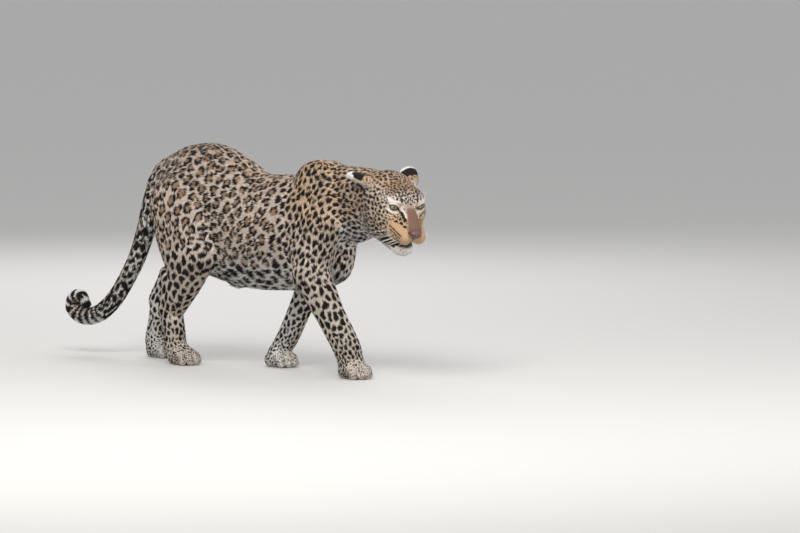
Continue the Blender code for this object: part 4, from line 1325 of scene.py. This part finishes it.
def coloured_by_points(name, roughness, scale):
    """The colour kept at the points, a little lighter and darker by noise."""
    made, nodes, shader = material(name, roughness, Specular_IOR_Level=0.25)
    noise = noise_bump(made, nodes, shader, scale, 0.35, 0.6 * MM)
    kinds = ("ShaderNodeAttribute", "ShaderNodeMapRange", "ShaderNodeMix")
    colour, vary, mixed = (nodes.new(kind) for kind in kinds)
    colour.attribute_name = "Coat"
    vary.inputs["To Min"].default_value = 0.82
    vary.inputs["To Max"].default_value = 1.12
    mixed.data_type, mixed.blend_type = "RGBA", "MULTIPLY"
    mixed.inputs["Factor"].default_value = 1.0
    first, second = (colour_socket(mixed.inputs, name) for name in ("A", "B"))
    link(
        made,
        (colour.outputs["Color"], first),
        (noise.outputs["Fac"], vary.inputs["Value"]),
        (vary.outputs["Result"], second),
        (colour_socket(mixed.outputs, "Result"), shader.inputs["Base Color"]),
    )
    return made


def ramp_material(name, roughness, scale, colours, bump, **sockets):
    """Noise between colours, with bumps."""
    made, nodes, shader = material(name, roughness, **sockets)
    noise = noise_bump(made, nodes, shader, scale, *bump)
    ramp = nodes.new("ShaderNodeValToRGB")
    low, high = ramp.color_ramp.elements
    low.position, high.position = 0.35, 0.68
    low.color, high.color = ((*colour, 1) for colour in colours)
    link(
        made,
        (noise.outputs["Fac"], ramp.inputs["Fac"]),
        (ramp.outputs["Color"], shader.inputs["Base Color"]),
    )
    return made


# The rings of the eye from its middle out: pupil, iris, dark rim and white
EYE_RINGS = (
    (0.000, srgb(8, 7, 7)),
    (0.115, srgb(10, 9, 8)),
    (0.135, srgb(186, 180, 130)),
    (0.220, srgb(150, 152, 122)),
    (0.330, srgb(112, 116, 94)),
    (0.370, srgb(40, 34, 24)),
    (0.400, srgb(30, 22, 18)),
    (0.460, srgb(150, 128, 110)),
)


def eye_material():
    """Rings round the way the eye looks, whose turn from it is kept at the points: pupil, iris, dark rim and
    white."""
    made, nodes, shader = material("eye", 0.12, Coat_Weight=1.0, Coat_Roughness=0.02)
    turn, ramp = nodes.new("ShaderNodeAttribute"), nodes.new("ShaderNodeValToRGB")
    turn.attribute_name = "Turn"
    stops = EYE_RINGS
    elements = ramp.color_ramp.elements
    elements[0].position, elements[0].color = stops[0][0], (*stops[0][1], 1)
    elements[1].position, elements[1].color = stops[-1][0], (*stops[-1][1], 1)
    for place, colour in stops[1:-1]:
        elements.new(place).color = (*colour, 1)
    streak, mixed = nodes.new("ShaderNodeTexNoise"), nodes.new("ShaderNodeMath")
    spot = nodes.new("ShaderNodeTexCoord")
    streak.inputs["Scale"].default_value = 900
    mixed.operation = "MULTIPLY_ADD"
    mixed.inputs[1].default_value = 0.035
    link(
        made,
        (spot.outputs["Object"], streak.inputs["Vector"]),
        (streak.outputs["Fac"], mixed.inputs[0]),
        (turn.outputs["Fac"], mixed.inputs[2]),
        (mixed.outputs["Value"], ramp.inputs["Fac"]),
        (ramp.outputs["Color"], shader.inputs["Base Color"]),
    )
    return made


COAT_MATERIALS = {
    "skin": coloured_by_points("skin", 0.75, 260),
    "tan": coloured_by_points("coat_tan", 0.55, 90),
    "cream": coloured_by_points("coat_cream", 0.58, 70),
    "limb": coloured_by_points("coat_limb", 0.56, 110),
    "tail": coloured_by_points("coat_tail", 0.60, 80),
}
LEATHER = ramp_material("nose_leather", 0.42, 900, (srgb(76, 52, 50), srgb(118, 84, 80)), (0.6, 0.5 * MM))
LID_SKIN = coloured_by_points("eyelid_skin", 0.40, 500)
LID_PALE = srgb(222, 206, 190)
# The inside of the mouth: a near-black red, partly its own colour and partly painted shade of the open mouth
MOUTH_LINING_AND_SHADE = ramp_material("mouth", 0.45, 300, (srgb(24, 14, 15), srgb(52, 30, 31)), (0.4, 0.5 * MM))
WHISKER = ramp_material("whisker", 0.35, 60, (srgb(228, 224, 216), srgb(250, 248, 244)), (0.1, 0.1 * MM))
EYE = eye_material()


def add_piece(name, points, faces, made, colours=None, spread=None):
    """An object of triangles or quads, riding on the body, with the coat's colours or a place to bake in."""
    mesh = bpy.data.meshes.new(name)
    corners = faces.shape[1]
    mesh.vertices.add(len(points))
    mesh.vertices.foreach_set("co", (points + SHIFT).ravel())
    mesh.loops.add(faces.size)
    mesh.loops.foreach_set("vertex_index", faces.ravel())
    mesh.polygons.add(len(faces))
    mesh.polygons.foreach_set("loop_start", np.arange(0, faces.size, corners))
    mesh.update(calc_edges=True)
    mesh.shade_smooth()
    if colours is not None:
        held = mesh.color_attributes.new("Coat", "FLOAT_COLOR", "POINT")
        held.data.foreach_set("color", np.insert(colours, 3, 1.0, axis=1).ravel())
    if spread is not None:
        mesh.uv_layers.new(name="OFBake").uv.foreach_set("vector", spread[faces.ravel()].ravel())
    mesh.materials.append(made)
    found = bpy.data.objects.new(name, mesh)
    bpy.context.scene.collection.objects.link(found)
    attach(found, "root")
    return found


# The nodes that the skin and the coat stand for
EYE_NODES = [f"{kind}_{side}" for kind in ("eye", "eyelids") for side in SIDES]
skin = add_piece("skin", SKIN_POINTS, SKIN_TRIANGLES, COAT_MATERIALS["skin"], SKIN_COLOURS)
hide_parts(*[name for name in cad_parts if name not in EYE_NODES and name != "nose"])

# %% [markdown]
# ## The pieces of the coat
# The tufts are shared out by part of the body. On the bake map each tuft is a small patch at its root's place
# on an unwrap of its part: along the part's curve one way and round it the other.
# %% Coat pieces
PATCH = 0.003
PIECE_TUFTS = 46000
COAT_KIND = {"trunk": "cream", "neck": "tan", "head": "tan", "tail": "tail"}
CORNER_SPREAD = np.array([(0, 0), (1, 0), (0.5, 0.5), (0.5, 1)]) * PATCH


def unwrapped(part, chosen):
    """The place of each root on its part's unwrap: u along the curve, v the angle round it over a turn."""
    path = PATHS[part]
    along = TUFT_PLACES[chosen, PARTS.index(part)]
    i = np.round(along * (path.count - 1)).astype(int)
    out = TUFT_ROOTS[chosen] - path.line[i]
    angle = np.arctan2((out * path.across[i]).sum(1), (out * path.front[i]).sum(1))
    return np.column_stack([along, angle / TURNS + 0.5]) * (1 - PATCH)


def add_coat():
    """One object for each part of the body and side, of as many as it needs."""
    made = []
    for n, part in enumerate(PARTS):
        rows = np.flatnonzero(TUFT_PART == n)
        rows = rows[np.argsort(TUFT_ROOTS[rows, 1], kind="stable")]
        kind = COAT_KIND.get(part, "limb")
        groups = np.array_split(rows, len(rows) // PIECE_TUFTS + 1)
        for number, chosen in enumerate(groups):
            name = f"coat_{part}" if len(groups) == 1 else f"coat_{part}_{number + 1}"
            faces = (TUFT_FACES + 4 * np.arange(len(chosen))[:, None, None]).reshape(-1, 3)
            spread = (unwrapped(part, chosen)[:, None] + CORNER_SPREAD).reshape(-1, 2)
            colours = TUFT_COLOURS[chosen].reshape(-1, 3)
            points = TUFT_POINTS[chosen].reshape(-1, 3)
            piece = add_piece(name, points, faces, COAT_MATERIALS[kind], colours, spread)
            made.append((name, len(faces)))
    return made


print("coat:", add_coat())

# %% [markdown]
# ## The eyes
# Each eyeball is a sphere that bulges at the cornea. The lids are a shell round it with a slit that is long
# across and low, black at the rim.
# %% Eyes and lids
EYE_GAP = 0.35 * MM
SLIT_WIDE, SLIT_HIGH, SLIT_POWER = 0.93, 0.36, 1.5
RING_SCALE = 0.64


def eye_axes(side):
    """Columns: the way the eye looks, its outer corner and its upper lid."""
    turn, slant = side * EYE_OUTWARD, LID_SLANT
    look = np.array([math.cos(turn), math.sin(turn), 0])
    level = np.array([-math.sin(turn), math.cos(turn), 0]) * side
    corner = level * math.cos(slant) + np.array([0, 0, math.sin(slant)])
    return HEAD @ np.column_stack([look, corner, np.cross(look, corner) * side])


def ring_grid(angle, radius, turn):
    """Points on rings round the first axis, from their angle to it and their distance from the centre."""
    local = np.stack([np.cos(angle), np.sin(angle) * np.cos(turn), np.sin(angle) * np.sin(turn)], -1)
    return radius[..., None] * local


def ring_faces(rows, around, closed):
    """Quads between neighbouring rings, and from the last ring to the first where the grid is closed."""
    i, j = np.meshgrid(np.arange(rows if closed else rows - 1), np.arange(around), indexing="ij")
    ring = ((i, j), ((i + 1) % rows, j), ((i + 1) % rows, (j + 1) % around), (i, (j + 1) % around))
    return np.stack([a % rows * around + b for a, b in ring], -1).reshape(-1, 4)


def in_triangles(quads):
    """Each quad as two triangles."""
    return np.concatenate([quads[:, [0, 1, 2]], quads[:, [0, 2, 3]]])


def outward(points, faces):
    """The faces turned over if the solid that they close has a volume below zero."""
    a, b, c = (points[faces[:, n]] for n in range(3))
    return faces[:, ::-1] if (a * np.cross(b, c)).sum() < 0 else faces


def add_eyeball(name, side):
    rows, around = 64, 72
    angle = np.linspace(0.002, math.pi - 0.002, rows)[:, None] + np.zeros(around)
    turn = np.linspace(0, TURNS, around, endpoint=False)[None] + np.zeros((rows, 1))
    bulge = 0.6 * MM * np.exp(-((angle / 0.55) ** 4))
    local = ring_grid(angle, EYEBALL_RADIUS - 0.5 * MM + bulge, turn).reshape(-1, 3)
    faces = ring_faces(rows, around, False)
    caps = [np.arange(around)[::-1], np.arange(around) + (rows - 1) * around]
    faces = in_triangles(faces)
    fans = [np.column_stack([np.full(around - 2, cap[0]), cap[1:-1], cap[2:]]) for cap in caps]
    faces = outward(local, np.concatenate([faces, *fans]))
    piece = add_piece(name, eye_centre(side) + local @ eye_axes(side).T, faces, EYE)
    held = piece.data.attributes.new("Turn", "FLOAT", "POINT")
    held.data.foreach_set("value", (angle / math.pi * 2 * RING_SCALE).ravel())
    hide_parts(name)
    return piece


def slit_angle(turn):
    """The angle of the lids' rim: a rounded almond, 1 / ((|cos| / w)^p + (|sin| / h)^p)^(1/p)."""
    high = np.where(np.sin(turn) > 0, SLIT_HIGH, SLIT_HIGH * 1.12)
    parts = (np.abs(np.cos(turn)) / SLIT_WIDE) ** SLIT_POWER + (np.abs(np.sin(turn)) / high) ** SLIT_POWER
    return parts ** (-1 / SLIT_POWER)


def add_lids(name, side):
    """A shell whose section runs out over its outer face to a round rim and back along the eyeball."""
    around = 96
    turn = np.linspace(0, TURNS, around, endpoint=False)[None]
    inner, outer = EYEBALL_RADIUS + EYE_GAP, EYEBALL_RADIUS + LID_THICKNESS - 0.4 * MM
    back = math.radians(96)
    part = np.array([0, 0.012, 0.04, 0.10, 0.25, 0.5, 0.8, 1, 1, 0.8, 0.5, 0.25, 0.10, 0.03])[:, None]
    swell = np.array([0.5, 0.85, 1.0, 1.05, 1.0, 1.0, 0.9, 0.8, 0, 0, 0, 0, 0, 0.12])[:, None]
    radius = inner + (outer - inner) * swell + np.zeros((1, around))
    angle = slit_angle(turn) + (back - slit_angle(turn)) * part
    local = ring_grid(angle, radius, turn + 0 * angle).reshape(-1, 3)
    faces = ring_faces(len(part), around, True)
    faces = in_triangles(faces)
    torus_out = local[faces].mean(1) - local.reshape(len(part), around, 3).mean(0)[faces[:, 0] % around]
    a, b, c = (local[faces[:, n]] for n in range(3))
    if (np.cross(b - a, c - a) * torus_out).sum() < 0:
        faces = faces[:, ::-1]
    points = eye_centre(side) + local @ eye_axes(side).T
    furred = smooth_step((angle - slit_angle(turn)).ravel(), 0.16, 0.24)
    colours = toward(np.tile(BLACK, (len(points), 1)), LID_PALE, furred)
    piece = add_piece(name, points, faces, LID_SKIN, colours)
    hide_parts(name)
    return piece


for side_name, side in SIDES.items():
    add_eyeball("eye_" + side_name, side)
    add_lids("eyelids_" + side_name, side)

# %% [markdown]
# ## Nose leather and mouth
# The leather is drawn from its own fine field, with a comma of a nostril on each side and a groove down the
# middle. A lining fills the gap between the jaws; its dark red is partly the mouth's own colour and partly
# painted shade.
# %% Nose and mouth
FINE_STEP = 0.7 * MM


def box_form(middle, reach, step):
    return Form(middle - np.asarray(reach), middle + np.asarray(reach), step)


def add_form(name, form, made):
    points, faces = form.surface()
    faces = in_triangles(faces)
    return add_piece(name, points, outward(points - points.mean(0), faces), made)


def nose_form():
    middle = on_head(0.080, 0, -0.045)
    form = box_form(middle, (0.030, 0.030, 0.030), FINE_STEP)
    nose(form)
    groove = [(0.0960, 0, -0.040, 0.0006, 0.0012), (0.0930, 0, -0.054, 0.0008, 0.0014)]
    head_sweep(form, groove, 0.0015, carve=True)
    for side in SIDES.values():
        slot = [(0.0905, side * 0.0085, -0.0445, 0.0026), (0.0850, side * 0.0150, -0.0420, 0.0014)]
        head_sweep(form, slot, 0.002, carve=True)
    return form


leather = add_form("nose", nose_form(), LEATHER)
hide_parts("nose")


def lining_form():
    """What fills the mouth behind the lips: the gap between the jaws, drawn back from them."""
    form = box_form(on_head(0.015, 0, -0.098), (0.075, 0.065, 0.055), 1.4 * MM)
    rows = [
        (-0.012, 0, -0.101, 0.026, 0.0060),
        (0.018, 0, -0.098, 0.024, 0.0075),
        (0.040, 0, -0.096, 0.017, 0.0085),
        (0.050, 0, -0.095, 0.009, 0.0080),
    ]
    head_sweep(form, rows, 0.004, cap=0.3)
    return form


# The lining's dark colour is partly the mouth's own and partly painted shade inside the open mouth
add_form("mouth_lining_and_shade", lining_form(), MOUTH_LINING_AND_SHADE)
print("nose and mouth are in")

# %% [markdown]
# ## Whiskers and long hairs
# Whiskers are stiff, tapered and bent. They grow in four rows from the dark dashes of the whisker pads and
# sweep down and back. Fine long hairs stand in the ears, on the chin and at the ruff, and hang from the
# belly.
# %% Strands
STRAND_SIDES = 3
WHISKER_JOINTS, HAIR_JOINTS = 9, 5
UNWRAP_COLUMNS = 331
LEAST = 1e-9


def strands(roots, ways, bends, lengths, widths, joints):
    """Tapered three-sided strands: root + way t L + bend t^2 L, of width (1 - 0.92 t) w."""
    t = np.linspace(0, 1, joints)[None, :, None]
    line = roots[:, None] + lengths[:, None, None] * (ways[:, None] * t + bends[:, None] * t**2)
    along = unit(ways[:, None] + 2 * bends[:, None] * t)
    u = unit(np.cross(along, np.array([0.31, 0.83, 0.46])))
    v = np.cross(along, u)
    turn = np.arange(STRAND_SIDES) * TURNS / STRAND_SIDES
    half = (widths[:, None, None] / 2 * (1 - 0.92 * t))[:, :, None]
    ring = u[:, :, None] * np.cos(turn)[:, None] + v[:, :, None] * np.sin(turn)[:, None]
    points = line[:, :, None] + half * ring
    rows = np.arange(joints - 1)[:, None] * STRAND_SIDES
    side = np.arange(STRAND_SIDES)[None]
    low, high = rows + side, rows + (side + 1) % STRAND_SIDES
    first = np.stack([low, high, high + STRAND_SIDES], -1).reshape(-1, 3)
    second = np.stack([low, high + STRAND_SIDES, low + STRAND_SIDES], -1).reshape(-1, 3)
    last = (joints - 1) * STRAND_SIDES
    caps = np.array([(0, 2, 1), (last, last + 1, last + 2)])
    one = np.concatenate([first, second, caps])
    faces = one[None] + np.arange(len(roots))[:, None, None] * joints * STRAND_SIDES
    return points.reshape(-1, 3), faces.reshape(-1, 3)


def whisker_tables():
    """Roots, ways, bends, lengths and widths of the whiskers of both sides."""
    dice = np.random.default_rng(5)
    rows = []
    for side in SIDES.values():
        for row in range(WHISKER_ROWS):
            for number in range(4):
                ahead = 0.028 + 0.0105 * number + 0.003 * row
                place = np.array([ahead, side * (0.0385 - 0.0028 * number), -0.0545 - WHISKER_ROW_GAP * row])
                way = unit(np.array([-0.55 - 0.10 * (3 - number), side * 0.85, -0.52 - 0.10 * row]))
                way = unit(way + dice.normal(0, 0.07, 3))
                bend = np.array([-0.16, 0, -0.24]) + dice.normal(0, 0.04, 3)
                length = 0.108 - 0.012 * abs(number - 1) + dice.uniform(-0.014, 0.012)
                rows.append((on_head(*place), HEAD @ way, HEAD @ bend, length, 1.15 * MM))
        for number in range(4):
            place = np.array([0.004 - 0.004 * number, side * (0.027 + 0.006 * number), 0.0235])
            way = unit(np.array([0.35, side * (0.25 + 0.2 * number), 1.0]))
            rows.append((on_head(*place), HEAD @ way, HEAD @ np.array([-0.25, 0, 0.0]), 0.034, 0.45 * MM))
    return [np.array(column) for column in zip(*rows)]


def in_box(points, spare=6 * MM):
    """Whether every point stays within the solids' box, less a little."""
    low, high = np.array(CAD_BOX[0]) - spare, np.array(CAD_BOX[1]) + spare
    return bool(((points + SHIFT > low) & (points + SHIFT < high)).all())


points, faces = strands(*whisker_tables(), WHISKER_JOINTS)
add_piece("whiskers", points, faces, WHISKER)
print("whiskers stay within the box:", in_box(points))


def hair_from(chosen, length, width, lift, way, seed):
    """Long hairs from chosen points of the skin, along a way and lifted off it."""
    dice = np.random.default_rng(seed)
    roots, normals = SKIN_POINTS[chosen], SKIN_NORMALS[chosen]
    ways = unit(along_skin(way, normals) + normals * lift + dice.normal(0, 0.16, roots.shape))
    bends = -0.30 * normals + dice.normal(0, 0.08, roots.shape)
    lengths = length * dice.uniform(0.6, 1.15, len(chosen))
    widths = np.full(len(chosen), width)
    made, faces = strands(roots - normals * SINK, ways, bends, lengths, widths, HAIR_JOINTS)
    near = SKIN_SEEDS[chosen]
    shown = coat_colours(roots, normals, SKIN_SHARES[chosen], SKIN_PLACES[chosen], near)
    shown = shown * dice.normal(1.05, 0.08, (len(chosen), 1)).clip(0.8, 1.3)
    return made, faces, np.repeat(np.clip(shown, 0, 1), HAIR_JOINTS * STRAND_SIDES, axis=0)


def pick(wanted, count, seed):
    """Some of the skin's points, each as likely as it is wanted."""
    dice = np.random.default_rng(seed)
    return dice.choice(len(wanted), count, p=wanted / wanted.sum())


def add_long_hair(name, wanted, count, length, width, lift, way, kind, seed):
    chosen = pick(wanted, count, seed)
    made, faces, colours = hair_from(chosen, length, width, lift, way[chosen] if way.ndim > 1 else way, seed)
    spread = np.column_stack([SKIN_PLACES[chosen].max(1), (chosen % UNWRAP_COLUMNS) / UNWRAP_COLUMNS])
    spread = np.repeat(spread, HAIR_JOINTS * STRAND_SIDES, axis=0) * (1 - PATCH)
    offsets = np.tile(np.repeat(np.linspace(0, PATCH, HAIR_JOINTS), STRAND_SIDES), len(chosen))
    around = np.tile([0, PATCH / 2, PATCH], HAIR_JOINTS * len(chosen))
    spread = spread + np.column_stack([offsets, around])
    piece = add_piece(name, made, faces, COAT_MATERIALS[kind], colours, spread)


height = SKIN_POINTS[:, 2]
belly = part_share(SKIN_SHARES, "trunk") * smooth_step(-SKIN_NORMALS[:, 2], 0.35, 0.8) * (height < 0.30)
hang = np.array([-0.7, 0, -0.5])
add_long_hair("coat_belly_fringe", belly, 5200, 26 * MM, 0.8 * MM, 0.35, hang, "cream", 71)
ahead, left, above = head_place(SKIN_POINTS).T
ear_inside = np.zeros(len(SKIN_POINTS))
for places in EARS.values():
    facing = SKIN_NORMALS @ ear_axes(*places[1:])[:, 2]
    ear_inside += on_ear(SKIN_POINTS, places) * (facing > 0.1)
add_long_hair("coat_ear_hair", ear_inside + LEAST, 1500, 13 * MM, 0.45 * MM, 0.5, SKIN_LIE, "tan", 72)
chin = (np.abs(left) < 0.024) & (ahead > 0.0) & (above < -0.118) & (ahead < 0.06)
add_long_hair("coat_chin", chin + LEAST, 900, 7.5 * MM, 0.5 * MM, 0.5, SKIN_LIE, "tan", 73)
cheeks = part_share(SKIN_SHARES, "head") * (ahead < -0.055) * (np.abs(left) > 0.045) * (above < -0.03)
add_long_hair("coat_ruff", cheeks + LEAST, 2600, 16 * MM, 0.6 * MM, 0.30, SKIN_LIE, "tan", 74)
print("long hairs are in")

# %% [markdown]
# ## Floor, light and camera
# The picture is taken from ahead and to the animal's right, low down and from far off.
# %% Stage
YAW, ELEVATION = math.radians(40), math.radians(4.5)
DISTANCE, LENS = 16, 257.1
AIM = np.array([0.06, 0, 0.33])
SIDEWAYS, UPWARDS = 0.330, -0.0395
FLOOR_REACH, FLOOR_COLOUR = 30, srgb(206, 203, 198)
SKY_COLOUR, SKY_STRENGTH = (0.82, 0.84, 0.88, 1), 0.75
LIT_AT = (0, 0, 0.35)


def stage_material():
    made, _, shader = material("floor", 0.9)
    shader.inputs["Base Color"].default_value = (*FLOOR_COLOUR, 1)
    return made


def add_floor():
    mesh = bpy.data.meshes.new("floor")
    reach = FLOOR_REACH
    corners = [(-reach, -reach, 0), (reach, -reach, 0), (reach, reach, 0), (-reach, reach, 0)]
    mesh.from_pydata(corners, [], [(0, 1, 2, 3)])
    mesh.materials.append(stage_material())
    floor = bpy.data.objects.new("floor", mesh)
    bpy.context.scene.collection.objects.link(floor)


def add_light(name, kind, energy, place, size, colour=(1, 1, 1)):
    """A light that points from its place at the middle of the body."""
    lamp = bpy.data.lights.new(name, kind)
    lamp.energy, lamp.color = energy, colour
    if kind == "AREA":
        lamp.size = size
    else:
        lamp.angle = size
    found = bpy.data.objects.new(name, lamp)
    found.location = place
    found.rotation_mode = "QUATERNION"
    found.rotation_quaternion = (Vector(LIT_AT) - Vector(place)).to_track_quat("-Z", "Y")
    bpy.context.scene.collection.objects.link(found)


def add_camera():
    back = np.array([
        math.sin(YAW) * math.cos(ELEVATION), -math.cos(YAW) * math.cos(ELEVATION), math.sin(ELEVATION)
    ])
    right = np.array([math.cos(YAW), math.sin(YAW), 0.0])
    camera = bpy.data.objects.new("camera", bpy.data.cameras.new("camera"))
    camera.data.lens = LENS
    camera.location = AIM + SHIFT + back * DISTANCE + right * SIDEWAYS + np.cross(back, right) * UPWARDS
    camera.rotation_mode = "QUATERNION"
    camera.rotation_quaternion = Vector(-back).to_track_quat("-Z", "Y")
    bpy.context.scene.collection.objects.link(camera)
    bpy.context.scene.camera = camera


add_floor()
add_light("key", "AREA", 130, (1.6, -2.6, 3.2), 2.0, (1.0, 0.99, 0.97))
add_light("fill", "AREA", 34, (3.4, 0.6, 1.6), 3.0, (0.93, 0.96, 1.0))
add_light("back", "AREA", 60, (-2.6, 2.4, 2.8), 2.4, (0.96, 0.98, 1.0))
add_camera()
world = bpy.data.worlds.new("studio")
bpy.context.scene.world = world
world.use_nodes = True
sky = world.node_tree.nodes["Background"]
sky.inputs["Color"].default_value, sky.inputs["Strength"].default_value = SKY_COLOUR, SKY_STRENGTH
bpy.context.scene.view_settings.view_transform = "Standard"
